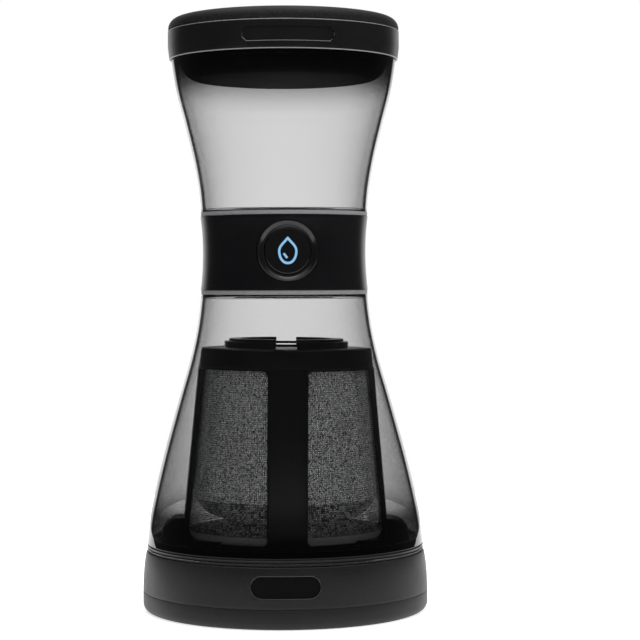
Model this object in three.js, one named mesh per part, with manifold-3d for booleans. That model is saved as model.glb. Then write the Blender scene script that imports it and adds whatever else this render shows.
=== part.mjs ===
// Cold brew coffee maker in the shape of an hourglass, in millimetres, +Z up.
// The origin is the middle of the foot ring's underside, and the push button faces -Y.
// From the floor up: base with its plug and the coffee filter, brew chamber, valve collar,
// serving chamber, and a lid that is also the foot when the brewer is turned over to drain.

import * as THREE from "three";
import { mergeVertices } from "three/addons/utils/BufferGeometryUtils.js";
import Module from "manifold-3d";

const wasm = await Module();
wasm.setup();

// Clearances, overruns and counts of facets
const gap = 0.3; // between pieces that rest on each other or slide in each other
const screwGap = 0.5; // round the screwed ends, where one piece turns inside another
const overrun = 1; // how far a cutter runs past the faces that it leaves
const plaqueEnd = 1; // least height of a plaque at its rounded ends
const turnSteps = 32; // round the large turned pieces
const innerSteps = 24; // round the strainer cup and the flat gaskets
const buttonSteps = 24; // round the button and its ring
const valveSteps = 12; // round the spool, its seals and its bore
const arcSteps = 3; // along each rounding of an outline
const patchSteps = 5; // across a window or plaque that is bent round a wall

// Foot ring of soft rubber
const footHeight = 10.9;
const footWidth = 13.5;
const footRound = 4.5;

// Base cap: a cup with a stepped floor that screws onto the brew chamber
const baseWall = 2; // of the rim, round the chamber's screw
const baseLean = 2; // how much wider the foot is than the rim
const baseBelly = 1.8; // pulls the side outwards on its way to the rim
const baseBellyShare = 0.66; // of the base's height, where the belly pulls
const baseHeight = 22.4;
const baseFloor = 3;
const baseRecess = 3; // height of the middle of the underside above the table
const basePlaqueWidth = 36.7;
const basePlaqueHeight = 11.4;
const basePlaqueShare = 0.513; // of the base's height, up to the plaque's middle
const plaqueDepth = 0.8;

// Brew chamber
const brewScrewRadius = 75;
const brewScrewSeat = 0.6; // between the screw's end and the plug's foot
const brewLip = 2.2; // how far the lip on the base cap stands out from the screw
const brewLipHeight = 2.8;
const brewHeight = 139.1; // from the lip to the neck
const chamberWall = 2.4;

// Necks of both chambers, screwed into the collar
const neckRadius = 46.4;
const neckBand = 3.2; // solid glass ring next to the collar
const neckScrewInset = 4.8; // solid core between the screw and the back of the button's ring
const neckScrewWall = 3;
const neckFall = 1.5; // slope of the neck's floor towards its bore
const neckGasketHeight = 1.6;

// Base plug: closes the brew chamber from below and carries the filter
const plugWall = 3;
const plugDeck = 3;
const plugDeckRise = 0.8; // of the deck's top above the chamber's lip
const plugRimRise = 2.5;
const plugFootHeight = 2.2;
const plugSealGap = 1.5; // between the plug's side and the inside of the chamber's screw
const sealHeight = 3;
const sealDepth = 1.4;

// Filter cage and what hangs in it
const cageShoulderShare = 0.065; // of the way from the neck's radius to the chamber's foot
const cageHeadroom = 29.8; // between the cage's rim and the neck
const cageBand = 10.5; // plain band above the windows' shoulder
const cageBandStep = 0.5;
const cageBandTaper = 1.6; // how much narrower the rim is than the shoulder
const cageWall = 2.6;
const cageFloor = 2.5;
const ribWidth = 20;
const windowSill = 5.2;
const windowLintel = 1.2;
const windowRound = 2.5;
const windowSweep = 12; // large rounding where a side rib meets the sill
const meshThick = 0.8;
const hemHeight = 4.7;
const cupClear = 0.65;
const cupWall = 0.8;
const cupRound = 18;
const cupLift = 13.5; // of the cup's bottom above the cage's floor
const cupLipThick = 1.2;
const cageLipDrop = 6.7; // of the cup's lip below the cage's rim
const wingClear = 1.1; // between the wings and the plug's rim
const wingHeight = 13.5;
const wingRound = 9;
const wingHalfAngle = 12;
const tabClear = 6.6; // between the tabs and the plug's rim, where the hooks stand
const tabLength = 3.3;
const tabThick = 2.6;
const tabHalfAngle = 8;
const hookHalfAngle = 7;
const hookThick = 2.4;
const hookWall = 2.2;
const hookBite = 3.4;

// Filter cap
const capGasketHeight = 1.5;
const capGasketWidth = 5.5;
const capLedge = 9.1; // of the disc round the lower step
const capLowerRise = 3.5;
const capStep = 2.6; // from the lower step to the upper one
const capUpperRise = 5;
const capGripWall = 6; // from the upper step to the well
const capNotch = 11.4;
const capBridgeRise = 1.2;
const capBridgeThick = 1.4;
const capBridgeWidth = 2.6;

// Collar
const collarMargin = 3.75; // above and below the button's ring
const collarStand = 0.3; // how much wider its ends are than the necks
const collarWaist = 1.3; // how far its middle draws in
const collarWall = 2.4; // at the waist

// Valve core inside the collar
const boreCover = 1.5; // solid core between the bore and a dish
const dishMargin = 2.5; // between the dish and the neck's bore
const dishDepth = 3.5;
const portWidth = 5;
const portLength = 10;
const boreRadius = 6.5;
const coreBack = 12.2; // solid core behind the bore
const portLap = 0.8; // how far the closed spool covers the port's edges

// Push button, its ring, and the spool
const ringRim = 2.5; // width of the ring's face
const ringStand = 0.6; // how far the ring's face stands off the collar's waist
const ringMouthGap = 1.5; // round the button, where the ring's mouth is wider
const ringMouthDepth = 1.5;
const ringDepth = 9.7;
const buttonRadius = 12.5;
const buttonSink = 0.8; // of the button's face behind the ring's face
const buttonThick = 5;
const buttonDome = 0.5;
const domeShoulderShare = 0.7; // of the dome's height, halfway to its edge
const buttonWall = 1.6;
const buttonHollow = 2.6;
const bossWall = 2.7;
const stemRadius = 3;
const stemLength = 3;
const waistRadius = 3;
const spoolTail = 10; // from the port's middle to the spool's end
const spoolSealWidth = 1.8;
const spoolSealDepth = 1.4;
const spoolSealRoom = 1.6; // plain spool between a seal and the waist
const springWire = 1.2;
const springRadius = 4.6;
const springTurns = 6;
const springStepsPerTurn = 8;
const springSides = 5;

// Serving chamber
const servingHeight = 85.8; // from the neck's end to the shoulder under the lid
const servingShoulderRadius = 62.5;
const servingStep = 2.1; // from the shoulder in to the screw
const servingScrewLength = 9.6;

// Lid: plug, gasket, screw cap and bumper ring
const lidGasketWidth = 3.4;
const lidGasketHeight = 1.5;
const lidFlange = 1.5;
const bowlClear = 4.5; // between the bowl and the screwed rim
const bowlDepth = 22.6;
const bowlRound = 13;
const bowlMouthGap = 1.5;
const bowlWall = 2.2;
const lidWall = 3.5;
const lidLean = 0.8; // how much narrower the lower edge is
const lidEdgeHeight = 6.8;
const lidPlate = 2.7;
const lidSeat = 0.3; // light between the chamber's shoulder and the lid's lower edge
const lidDiscRise = 4.9;
const lidPlaqueWidth = 48.9;
const lidPlaqueHeight = 7.3;
const lidPlaqueRise = 8;
const lidPlaqueChamfer = 2.2;
const bumperStep = 0.6; // how much narrower the ring is than the lid
const bumperWidth = 13.8;
const bumperHeight = 7.6;
const bumperRound = 4.2;
const bumperInnerRound = 1.5;

// Side lines of the chambers: [share of the height, share of the way from the neck's radius to the foot's]
const brewLineShares = [
  [0, 1],
  [0.104, 0.948],
  [0.23, 0.831],
  [0.358, 0.691],
  [0.484, 0.537],
  [0.613, 0.371],
  [0.742, 0.202],
  [0.871, 0.075],
  [1, 0],
];
const servingLineShares = [
  [0, 0],
  [0.16, 0.085],
  [0.365, 0.28],
  [0.576, 0.547],
  [0.788, 0.826],
  [1, 1],
];
const brewLineSteps = 8;
const servingLineSteps = 6;

// Heights that the pieces share, from the floor up
const shelfZ = footHeight + gap;
const baseRimZ = shelfZ + baseHeight;
const plugFootZ = shelfZ + baseFloor + gap;
const brewLipZ = baseRimZ + gap;
const brewLineZ = brewLipZ + brewLipHeight;
const brewTopZ = brewLineZ + brewHeight + neckBand;
const deckZ = brewLineZ + plugDeckRise;
const cageZ = deckZ + gap;
const cageTopZ = brewLineZ + brewHeight - cageHeadroom;
const ringMouth = buttonRadius + ringMouthGap;
const ringRadius = ringMouth + ringRim;
const collarHeight = 2 * (ringRadius + collarMargin);
const collarZ = brewTopZ + gap;
const buttonZ = collarZ + collarHeight / 2;
const servingZ = collarZ + collarHeight + gap;
const servingShoulderZ = servingZ + servingHeight;
const servingRimZ = servingShoulderZ + servingScrewLength;
const lidFlangeZ = servingRimZ + gap + lidGasketHeight + gap;
const lidPlateZ = lidFlangeZ + lidFlange + gap;
const lidEdgeZ = servingShoulderZ + lidSeat;
const bumperZ = lidPlateZ + lidPlate + gap;

// Radii that follow from a neighbour's
const baseBore = brewScrewRadius + screwGap;
const baseRimRadius = baseBore + baseWall;
const footRadius = baseRimRadius + baseLean;
const brewFootRadius = brewScrewRadius + brewLip;
const brewBore = brewScrewRadius - chamberWall;
const plugRadius = brewBore - plugSealGap;
const wingReach = plugRadius - plugWall - wingClear;
const tabReach = plugRadius - plugWall - tabClear;
const cageFootRadius = tabReach - tabLength;
const cageShoulderRadius = neckRadius + (brewFootRadius - neckRadius) * cageShoulderShare;
const cageRimRadius = cageShoulderRadius - cageBandTaper;
const collarEndRadius = neckRadius + collarStand;
const collarWaistRadius = collarEndRadius - collarWaist;
const collarBore = collarWaistRadius - collarWall;
const coreRadius = collarBore - gap;
const coreDeck = 2 * (boreRadius + boreCover + dishDepth); // between the necks' two sockets
const boreEnd = coreRadius - coreBack;
const spoolRadius = boreRadius - gap;
const servingScrewRadius = servingShoulderRadius - servingStep;
const servingBore = servingScrewRadius - chamberWall;
const bowlRadius = servingBore - bowlClear;
const lidBore = servingScrewRadius + screwGap;
const lidRadius = lidBore + lidWall;
const bumperRadius = lidRadius - bumperStep;
const bumperBore = bumperRadius - bumperWidth;

// Places along Y of the button and its spool, which slide towards +Y
const travel = portWidth + 2 * portLap;
const ringFaceY = -collarWaistRadius - ringStand;
const ringBackY = ringFaceY + ringDepth;
const buttonFaceY = ringFaceY + buttonSink;
const buttonBackY = buttonFaceY + buttonThick;
const pocketY = buttonBackY + travel + gap;
const waistEndY = -portWidth / 2 - portLap;
const waistStartY = waistEndY - travel;

// The screwed necks stay inside the back of the button's ring and end above their gaskets
const neckScrewRadius = -ringBackY - neckScrewInset;
const neckScrewLength = (collarHeight - coreDeck) / 2 - neckGasketHeight - gap;
const neckBore = neckScrewRadius - neckScrewWall;
const coreSocket = neckScrewRadius + screwGap;
const dishRadius = neckBore - dishMargin;

const finishes = {
  blackPlastic: { color: 0x121214, roughness: 0.42, metalness: 0 },
  softBlack: { color: 0x2b2b2d, roughness: 0.75, metalness: 0 },
  footRubber: { color: 0x3a3a3c, roughness: 0.85, metalness: 0 },
  smokyClear: { color: 0x8f9194, roughness: 0.06, metalness: 0, transparent: true, opacity: 0.35 },
  steelMesh: { color: 0x6d6f72, roughness: 0.5, metalness: 0.7 },
  springSteel: { color: 0xb9bcc0, roughness: 0.3, metalness: 1 },
  seal: { color: 0x1b1b1c, roughness: 0.8, metalness: 0 },
};

// Vertices merged by place, collapsed triangles dropped and the faces turned outwards
function closed(geometry) {
  const bare = geometry.clone();
  for (const name of Object.keys(bare.attributes)) {
    if (name !== "position") bare.deleteAttribute(name);
  }
  const merged = mergeVertices(bare);
  const from = merged.index.array;
  const kept = [];
  for (let i = 0; i < from.length; i += 3) {
    const [a, b, c] = from.subarray(i, i + 3);
    if (a !== b && b !== c && c !== a) kept.push(a, b, c);
  }
  if (volumeOf(merged.attributes.position, kept) < 0) kept.reverse();
  merged.setIndex(kept);
  return merged;
}

function volumeOf(position, index) {
  const [a, b, c] = [new THREE.Vector3(), new THREE.Vector3(), new THREE.Vector3()];
  let sum = 0;
  for (let i = 0; i < index.length; i += 3) {
    a.fromBufferAttribute(position, index[i]);
    b.fromBufferAttribute(position, index[i + 1]);
    c.fromBufferAttribute(position, index[i + 2]);
    sum += a.dot(b.cross(c));
  }
  return sum;
}

function solid(shape) {
  return new wasm.Manifold(
    new wasm.Mesh({
      numProp: 3,
      vertProperties: new Float32Array(shape.attributes.position.array),
      triVerts: new Uint32Array(shape.index.array),
    }),
  );
}

function geometryOf(body) {
  const mesh = body.getMesh();
  const stride = mesh.numProp;
  const places = new Float32Array((mesh.vertProperties.length / stride) * 3);
  for (let i = 0; i < places.length / 3; i++) {
    places.set(mesh.vertProperties.subarray(i * stride, i * stride + 3), i * 3);
  }
  const geometry = new THREE.BufferGeometry();
  geometry.setAttribute("position", new THREE.BufferAttribute(places, 3));
  geometry.setIndex(new THREE.BufferAttribute(new Uint32Array(mesh.triVerts), 1));
  return geometry;
}

const cut = (body, ...tools) => tools.reduce((left, tool) => left.subtract(tool), body);
const join = (body, ...more) => more.reduce((sum, piece) => sum.add(piece), body);

// Part of a circle in an outline, from one angle to another in quarter turns
function arc(centreRadius, centreZ, radius, from, to) {
  return Array.from({ length: arcSteps + 1 }, (_, i) => {
    const angle = (Math.PI / 2) * (from + ((to - from) * i) / arcSteps);
    return [centreRadius + radius * Math.cos(angle), centreZ + radius * Math.sin(angle)];
  });
}

// A solid turned about Z from [radius, height] points that start and end on the axis
function turned(outline, steps = turnSteps) {
  const points = outline.map(([radius, z]) => new THREE.Vector2(radius, z));
  return closed(new THREE.LatheGeometry(points, steps).rotateX(Math.PI / 2));
}

// The same for a ring, whose outline closes on itself
const ring = (outline, steps) => turned([...outline, outline[0]], steps);

// A flat ring, such as a gasket
function flatRing(inner, outer, low, height) {
  const high = low + height;
  return ring([[inner, low], [outer, low], [outer, high], [inner, high]], innerSteps);
}

// A solid turned about a line along Y at the button's height, from [radius, y] points
function turnedAlongY(outline, steps) {
  const points = outline.map(([radius, y]) => new THREE.Vector2(radius, y));
  return closed(new THREE.LatheGeometry(points, steps).translate(0, 0, buttonZ));
}

const ringAlongY = (outline, steps) => turnedAlongY([...outline, outline[0]], steps);

// A block centred on Z
const box = (x, y, z, middleZ) =>
  solid(closed(new THREE.BoxGeometry(x, y, z).translate(0, 0, middleZ)));

// A slab bent round Z. Each column is [turn from the front, low z, high z].
function bentSlab(columns, inner, outer) {
  const places = [];
  for (const [angle, low, high] of columns) {
    const corners = [
      [inner, low],
      [outer, low],
      [outer, high],
      [inner, high],
    ];
    for (const [radius, z] of corners) {
      places.push(radius * Math.sin(angle), -radius * Math.cos(angle), z);
    }
  }
  const faces = [0, 1, 2, 0, 2, 3];
  for (let column = 0; column < columns.length - 1; column++) {
    for (let side = 0; side < 4; side++) {
      const a = column * 4 + side;
      const b = column * 4 + ((side + 1) % 4);
      faces.push(a, a + 4, b, b, a + 4, b + 4);
    }
  }
  const last = (columns.length - 1) * 4;
  faces.push(last, last + 2, last + 1, last, last + 3, last + 2);
  const geometry = new THREE.BufferGeometry();
  geometry.setAttribute("position", new THREE.Float32BufferAttribute(places, 3));
  geometry.setIndex(faces);
  return closed(geometry);
}

// Columns of a patch between two turns, whose corners rise by corner(distance from that end)
function patchColumns({ from, to, low, high, radius, startCorner, endCorner, reach }) {
  const width = (to - from) * radius;
  const near = Array.from({ length: arcSteps + 1 }, (_, i) => {
    const angle = (Math.PI / 2) * (i / arcSteps);
    return reach - reach * Math.cos(angle);
  });
  const middle = Array.from({ length: patchSteps }, (_, i) => {
    const share = (i + 1) / (patchSteps + 1);
    return THREE.MathUtils.lerp(reach, width - reach, share);
  });
  const far = near.map((distance) => width - distance).reverse();
  return [...near, ...middle, ...far].map((distance) => {
    const start = startCorner(distance);
    const end = endCorner(width - distance);
    const lowest = low + Math.max(start.low, end.low);
    const highest = high - Math.max(start.high, end.high);
    return [from + distance / radius, lowest, highest];
  });
}

// How far a rounded or chamfered corner stands in from its edge
const roundedBy = (radius) => (distance) =>
  distance < radius ? radius - Math.sqrt(radius * radius - (radius - distance) ** 2) : 0;
const chamferedBy = (size) => (distance) => Math.max(size - distance, 0);
const cornerOf = (low, high = low) => (distance) => ({ low: low(distance), high: high(distance) });

// The part of a ring inside a wedge round a given turn, in degrees
function wedgeOf(body, middle, halfAngle, low, high, outer) {
  const [from, to] = [middle - halfAngle, middle + halfAngle].map(THREE.MathUtils.degToRad);
  const columns = [
    [from, low, high],
    [(from + to) / 2, low, high],
    [to, low, high],
  ];
  return body.intersect(solid(bentSlab(columns, overrun, outer)));
}

// Points along a side line from its shares, and the same line moved inwards by the wall
function sideLine(shares, lowZ, height, neck, foot, steps, wall) {
  const controls = shares.map(
    ([up, out]) => new THREE.Vector2(neck + (foot - neck) * out, lowZ + height * up),
  );
  const curve = new THREE.SplineCurve(controls);
  return Array.from({ length: steps + 1 }, (_, i) => {
    const point = curve.getPoint(i / steps);
    const along = curve.getTangent(i / steps);
    return [point.x - wall * along.y, point.y + wall * along.x];
  });
}

const keepBetween = (line, low, high) => line.filter(([, z]) => z > low && z < high);

const product = new THREE.Group();

function place(name, geometry, finish) {
  const mesh = new THREE.Mesh(geometry, new THREE.MeshStandardMaterial(finishes[finish]));
  mesh.name = name;
  product.add(mesh);
}

// Foot ring: soft ring with a rounded lower edge, under the shelf of the base cap
function footRing() {
  const bore = footRadius - footWidth;
  return ring([
    [bore, 0],
    ...arc(footRadius - footRound, footRound, footRound, -1, 0),
    [footRadius, footHeight],
    [bore, footHeight],
  ]);
}

// Base cap: its middle drops through the foot ring, its side leans in to the rim
function baseCap() {
  const middle = footRadius - footWidth - gap;
  const side = new THREE.QuadraticBezierCurve(
    new THREE.Vector2(footRadius, shelfZ),
    new THREE.Vector2(baseRimRadius + baseBelly, shelfZ + baseHeight * baseBellyShare),
    new THREE.Vector2(baseRimRadius, baseRimZ),
  );
  const shell = turned([
    [0, baseRecess],
    [middle, baseRecess],
    [middle, shelfZ],
    ...side.getPoints(arcSteps).map((point) => [point.x, point.y]),
    [baseBore, baseRimZ],
    [baseBore, shelfZ + baseFloor],
    [middle - baseFloor, shelfZ + baseFloor],
    [middle - baseFloor, baseRecess + baseFloor],
    [0, baseRecess + baseFloor],
  ]);
  const middleZ = shelfZ + baseHeight * basePlaqueShare;
  const outer = (footRadius + baseRimRadius) / 2;
  const ends = roundedBy((basePlaqueHeight - plaqueEnd) / 2);
  const recess = plaque(basePlaqueWidth, basePlaqueHeight, middleZ, outer, ends);
  return geometryOf(cut(solid(shell), recess));
}

// Cutter for the shallow recess of a plaque on the front of a round wall
function plaque(width, height, middleZ, outer, corner) {
  const half = width / 2 / outer;
  const both = cornerOf(corner);
  const columns = patchColumns({
    from: -half,
    to: half,
    low: middleZ - height / 2,
    high: middleZ + height / 2,
    radius: outer,
    startCorner: both,
    endCorner: both,
    reach: height / 2,
  });
  return solid(bentSlab(columns, outer - plaqueDepth, outer + baseLean));
}

// Base plug: a cup turned over, with a foot under the chamber's screw, a seal groove and four hooks
function basePlug() {
  const rimZ = deckZ + plugRimRise;
  const inner = plugRadius - plugWall;
  const sealZ = deckZ - plugDeck - sealHeight;
  const groove = plugRadius - sealDepth;
  const body = turned([
    [0, deckZ - plugDeck],
    [inner, deckZ - plugDeck],
    [inner, plugFootZ],
    [brewScrewRadius, plugFootZ],
    [brewScrewRadius, plugFootZ + plugFootHeight],
    [plugRadius, plugFootZ + plugFootHeight],
    [plugRadius, sealZ],
    [groove, sealZ],
    [groove, sealZ + sealHeight],
    [plugRadius, sealZ + sealHeight],
    [plugRadius, rimZ],
    [inner, rimZ],
    [inner, deckZ],
    [0, deckZ],
  ]);
  const tabTopZ = cageZ + tabThick;
  const hookTopZ = tabTopZ + gap + hookThick;
  const post = tabReach + gap;
  const hookRing = solid(
    ring([
      [post, deckZ - plugDeck / 2],
      [post + hookWall, deckZ - plugDeck / 2],
      [post + hookWall, hookTopZ],
      [post - hookBite, hookTopZ],
      [post - hookBite, tabTopZ + gap],
      [post, tabTopZ + gap],
    ]),
  );
  const hooks = quarterTurns(45).map((turn) =>
    wedgeOf(hookRing, turn, hookHalfAngle, 0, hookTopZ + overrun, footRadius),
  );
  return geometryOf(join(solid(body), ...hooks));
}

const quarterTurns = (start) => [0, 1, 2, 3].map((i) => start + 90 * i);

// Round seal in the plug's groove
function baseGasket() {
  const low = deckZ - plugDeck - sealHeight + gap;
  const high = deckZ - plugDeck - gap;
  const inner = plugRadius - sealDepth + gap;
  const outer = brewBore - gap;
  return ring([
    [inner, low],
    [outer - gap, low],
    [outer, (low + high) / 2],
    [outer - gap, high],
    [inner, high],
  ]);
}

// Brew chamber: flared glass with a thick lip and a screwed skirt below, and a screwed neck above
function brewChamber() {
  const neckZ = brewTopZ - neckBand;
  const outline = (wall) =>
    sideLine(brewLineShares, brewLineZ, brewHeight, neckRadius, brewFootRadius, brewLineSteps, wall);
  const skirtZ = plugFootZ + plugFootHeight + brewScrewSeat;
  const low = brewLineZ + chamberWall;
  const inside = keepBetween(outline(chamberWall), low, neckZ - overrun).reverse();
  return ring([
    [brewScrewRadius, skirtZ],
    [brewScrewRadius, brewLipZ],
    [brewFootRadius, brewLipZ],
    ...outline(0),
    [neckRadius, brewTopZ],
    [neckScrewRadius, brewTopZ],
    [neckScrewRadius, brewTopZ + neckScrewLength],
    [neckBore, brewTopZ + neckScrewLength],
    [neckBore, neckZ + neckFall],
    [neckRadius - chamberWall, neckZ],
    ...inside,
    [brewBore, brewLineZ],
    [brewBore, skirtZ],
  ]);
}

// Serving chamber: the upper half of the hourglass, with a screwed rim under the lid
function servingChamber() {
  const neckZ = servingZ + neckBand;
  const outline = (wall) =>
    sideLine(
      servingLineShares,
      neckZ,
      servingShoulderZ - neckZ,
      neckRadius,
      servingShoulderRadius,
      servingLineSteps,
      wall,
    );
  const high = servingShoulderZ - chamberWall;
  const inside = keepBetween(outline(chamberWall), neckZ + overrun, high).reverse();
  return ring([
    [neckRadius, servingZ],
    ...outline(0),
    [servingScrewRadius, servingShoulderZ],
    [servingScrewRadius, servingRimZ],
    [servingBore, servingRimZ],
    [servingBore, high],
    ...inside,
    [neckRadius - chamberWall, neckZ],
    [neckBore, neckZ - neckFall],
    [neckBore, servingZ - neckScrewLength],
    [neckScrewRadius, servingZ - neckScrewLength],
    [neckScrewRadius, servingZ],
  ]);
}

// Outer radius of the filter cage's lower part, and the inside of its wall, at a height
const shoulderZ = cageTopZ - cageBand;
const cageOutside = (z) =>
  THREE.MathUtils.mapLinear(z, cageZ, shoulderZ, cageFootRadius, cageShoulderRadius);
const cageFloorZ = cageZ + cageFloor;
const cageInside = (z) => {
  const atFloor = cageOutside(cageFloorZ) - cageWall;
  const atShoulder = cageShoulderRadius - cageBandStep - cageWall;
  const atRim = cageRimRadius - cageWall;
  return z < shoulderZ
    ? THREE.MathUtils.mapLinear(z, cageFloorZ, shoulderZ, atFloor, atShoulder)
    : THREE.MathUtils.mapLinear(z, shoulderZ, cageTopZ, atShoulder, atRim);
};
const lipZ = cageTopZ - cageLipDrop;

// Filter cage: tapered frame with four windows, twist tabs and two finger wings at its foot
function filterCage() {
  const edge = cageWall / 4;
  const frame = solid(
    turned([
      [0, cageZ],
      [cageOutside(cageZ), cageZ],
      [cageShoulderRadius, shoulderZ],
      [cageShoulderRadius - cageBandStep, shoulderZ],
      [cageRimRadius, cageTopZ - edge],
      [cageRimRadius - edge, cageTopZ],
      [cageInside(cageTopZ), cageTopZ],
      [cageInside(shoulderZ), shoulderZ],
      [cageInside(cageFloorZ), cageFloorZ],
      [0, cageFloorZ],
    ]),
  );
  const foot = cageInside(cageFloorZ) + cageWall / 2;
  const tabRing = solid(
    ring([
      [foot, cageZ],
      [tabReach, cageZ],
      [tabReach, cageZ + tabThick],
      [foot, cageZ + tabThick],
    ]),
  );
  const wingRing = solid(
    ring([
      [foot, cageZ],
      [wingReach, cageZ],
      ...arc(wingReach - wingRound, cageZ + wingHeight - wingRound, wingRound, 0, 1),
      [cageInside(cageZ + wingHeight) + cageWall / 2, cageZ + wingHeight],
    ]),
  );
  const tabs = quarterTurns(45).map((turn) =>
    wedgeOf(tabRing, turn, tabHalfAngle, 0, cageTopZ, footRadius),
  );
  const wings = [90, 270].map((turn) =>
    wedgeOf(wingRing, turn, wingHalfAngle, 0, cageTopZ, footRadius),
  );
  return geometryOf(join(cut(frame, ...cageWindows()), ...tabs, ...wings));
}

// Four windows between the ribs; their sills sweep up to the two side ribs
function cageWindows() {
  const low = cageZ + windowSill;
  const high = shoulderZ - windowLintel;
  const radius = cageOutside((low + high) / 2);
  const rib = ribWidth / 2 / radius;
  const small = cornerOf(roundedBy(windowRound));
  const swept = cornerOf(roundedBy(windowSweep), roundedBy(windowRound));
  return [0, 1, 2, 3].map((quarter) => {
    const sweptStart = quarter % 2 === 1;
    const columns = patchColumns({
      from: (quarter * Math.PI) / 2 + rib,
      to: ((quarter + 1) * Math.PI) / 2 - rib,
      low,
      high,
      radius,
      startCorner: sweptStart ? swept : small,
      endCorner: sweptStart ? small : swept,
      reach: windowSweep,
    });
    return solid(bentSlab(columns, cageRimRadius / 2, wingReach));
  });
}

// Woven sleeve inside the cage, standing on a plain hem ring
const meshOutside = (z) => cageInside(z) - gap;
const meshInside = (z) => meshOutside(z) - meshThick;

function sleeve(...heights) {
  const outside = heights.map((z) => [meshOutside(z), z]);
  const inside = heights.map((z) => [meshInside(z), z]);
  return ring([...outside, ...inside.reverse()]);
}

const hemZ = cageFloorZ + gap;
const filterHem = () => sleeve(hemZ, hemZ + hemHeight);
const filterMesh = () => sleeve(hemZ + hemHeight + gap, shoulderZ, lipZ - gap);

// Strainer cup: thin cup for the coffee, hung by its lip on the sleeve's top edge
function strainerCup() {
  const side = (z) => meshInside(z) - cupClear;
  const bottomZ = cageFloorZ + cupLift;
  const bend = bottomZ + cupRound;
  const lip = cageInside(lipZ + cupLipThick) - gap;
  const outline = [
    [0, bottomZ],
    ...arc(side(bend) - cupRound, bend, cupRound, -1, 0),
    [side(shoulderZ), shoulderZ],
    [side(lipZ), lipZ],
    [lip, lipZ],
    [lip, lipZ + cupLipThick],
    [side(lipZ) - cupWall, lipZ + cupLipThick],
    [side(shoulderZ) - cupWall, shoulderZ],
    ...arc(side(bend) - cupRound, bend, cupRound - cupWall, 0, -1),
    [0, bottomZ + cupWall],
  ];
  return turned(outline, innerSteps);
}

// Gasket under the filter cap
const capGasketZ = lipZ + cupLipThick + gap;
const capZ = capGasketZ + capGasketHeight + gap;
const capRadius = cageInside(cageTopZ) - screwGap;
const capLowerRadius = capRadius - capLedge;
const capUpperRadius = capLowerRadius - capStep;
const capWellRadius = capUpperRadius - capGripWall;

const filterCapGasket = () =>
  flatRing(capRadius - capGasketWidth, capRadius, capGasketZ, capGasketHeight);

// Filter cap: a disc with two C-shaped steps to grip and a thin bridge across each notch
function filterCap() {
  const lowerZ = cageTopZ + capLowerRise;
  const disc = solid(
    turned([
      [0, capZ],
      [capRadius, capZ],
      [capRadius, cageTopZ],
      [capLowerRadius, cageTopZ],
      [capLowerRadius, lowerZ],
      [capUpperRadius, lowerZ],
      [capUpperRadius, cageTopZ + capUpperRise],
      [capWellRadius, cageTopZ + capUpperRise],
      [capWellRadius, cageTopZ],
      [0, cageTopZ],
    ]),
  );
  const notchTop = capUpperRise + overrun;
  const notchLength = 2 * (capLowerRadius + overrun);
  const notch = box(capNotch, notchLength, notchTop, cageTopZ + notchTop / 2);
  const bridgeZ = cageTopZ + capBridgeRise;
  const bridgeRing = solid(
    ring([
      [capLowerRadius - capBridgeWidth, bridgeZ],
      [capLowerRadius - gap, bridgeZ],
      [capLowerRadius - gap, bridgeZ + capBridgeThick],
      [capLowerRadius - capBridgeWidth, bridgeZ + capBridgeThick],
    ]),
  );
  const reach = (capNotch / 2 + overrun) / (capLowerRadius - capBridgeWidth);
  const halfTurn = THREE.MathUtils.radToDeg(reach);
  const bridges = [0, 180].map((turn) =>
    wedgeOf(bridgeRing, turn, halfTurn, cageZ, lowerZ, footRadius),
  );
  return geometryOf(join(cut(disc, notch), ...bridges));
}

// Flat ring between a chamber's neck and the valve core
const neckGasket = (low) => flatRing(neckBore, neckScrewRadius, low, neckGasketHeight);

// Collar: waisted sleeve with a round hole for the button's ring
function collar() {
  const topZ = collarZ + collarHeight;
  const side = new THREE.QuadraticBezierCurve(
    new THREE.Vector2(collarEndRadius, collarZ),
    new THREE.Vector2(2 * collarWaistRadius - collarEndRadius, buttonZ),
    new THREE.Vector2(collarEndRadius, topZ),
  );
  const sleeveShape = ring([
    [collarBore, collarZ],
    ...side.getPoints(2 * arcSteps).map((point) => [point.x, point.y]),
    [collarBore, topZ],
  ]);
  const hole = turnedAlongY(
    [
      [0, -collarEndRadius - overrun],
      [ringRadius + gap, -collarEndRadius - overrun],
      [ringRadius + gap, -boreRadius],
      [0, -boreRadius],
    ],
    buttonSteps,
  );
  return geometryOf(cut(solid(sleeveShape), solid(hole)));
}

// Valve core: a socket and a dished port for each neck, crossed by the spool's bore
function valveCore() {
  const lowZ = buttonZ - coreDeck / 2;
  const highZ = buttonZ + coreDeck / 2;
  const block = turned([
    [0, lowZ + dishDepth],
    [portLength / 2, lowZ + dishDepth],
    [dishRadius, lowZ],
    [coreSocket, lowZ],
    [coreSocket, collarZ],
    [coreRadius, collarZ],
    [coreRadius, collarZ + collarHeight],
    [coreSocket, collarZ + collarHeight],
    [coreSocket, highZ],
    [dishRadius, highZ],
    [portLength / 2, highZ - dishDepth],
    [0, highZ - dishDepth],
  ]);
  const port = box(portLength, portWidth, coreDeck, buttonZ);
  const ringSeat = turnedAlongY(
    [
      [0, -coreRadius - overrun],
      [ringRadius + gap, -coreRadius - overrun],
      [ringRadius + gap, ringBackY + gap],
      [buttonRadius + gap, ringBackY + gap],
      [buttonRadius + gap, pocketY],
      [0, pocketY],
    ],
    buttonSteps,
  );
  const bore = turnedAlongY(
    [
      [0, pocketY - overrun],
      [boreRadius, pocketY - overrun],
      [boreRadius, boreEnd],
      [0, boreEnd],
    ],
    valveSteps,
  );
  return geometryOf(cut(solid(block), port, solid(ringSeat), solid(bore)));
}

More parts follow.
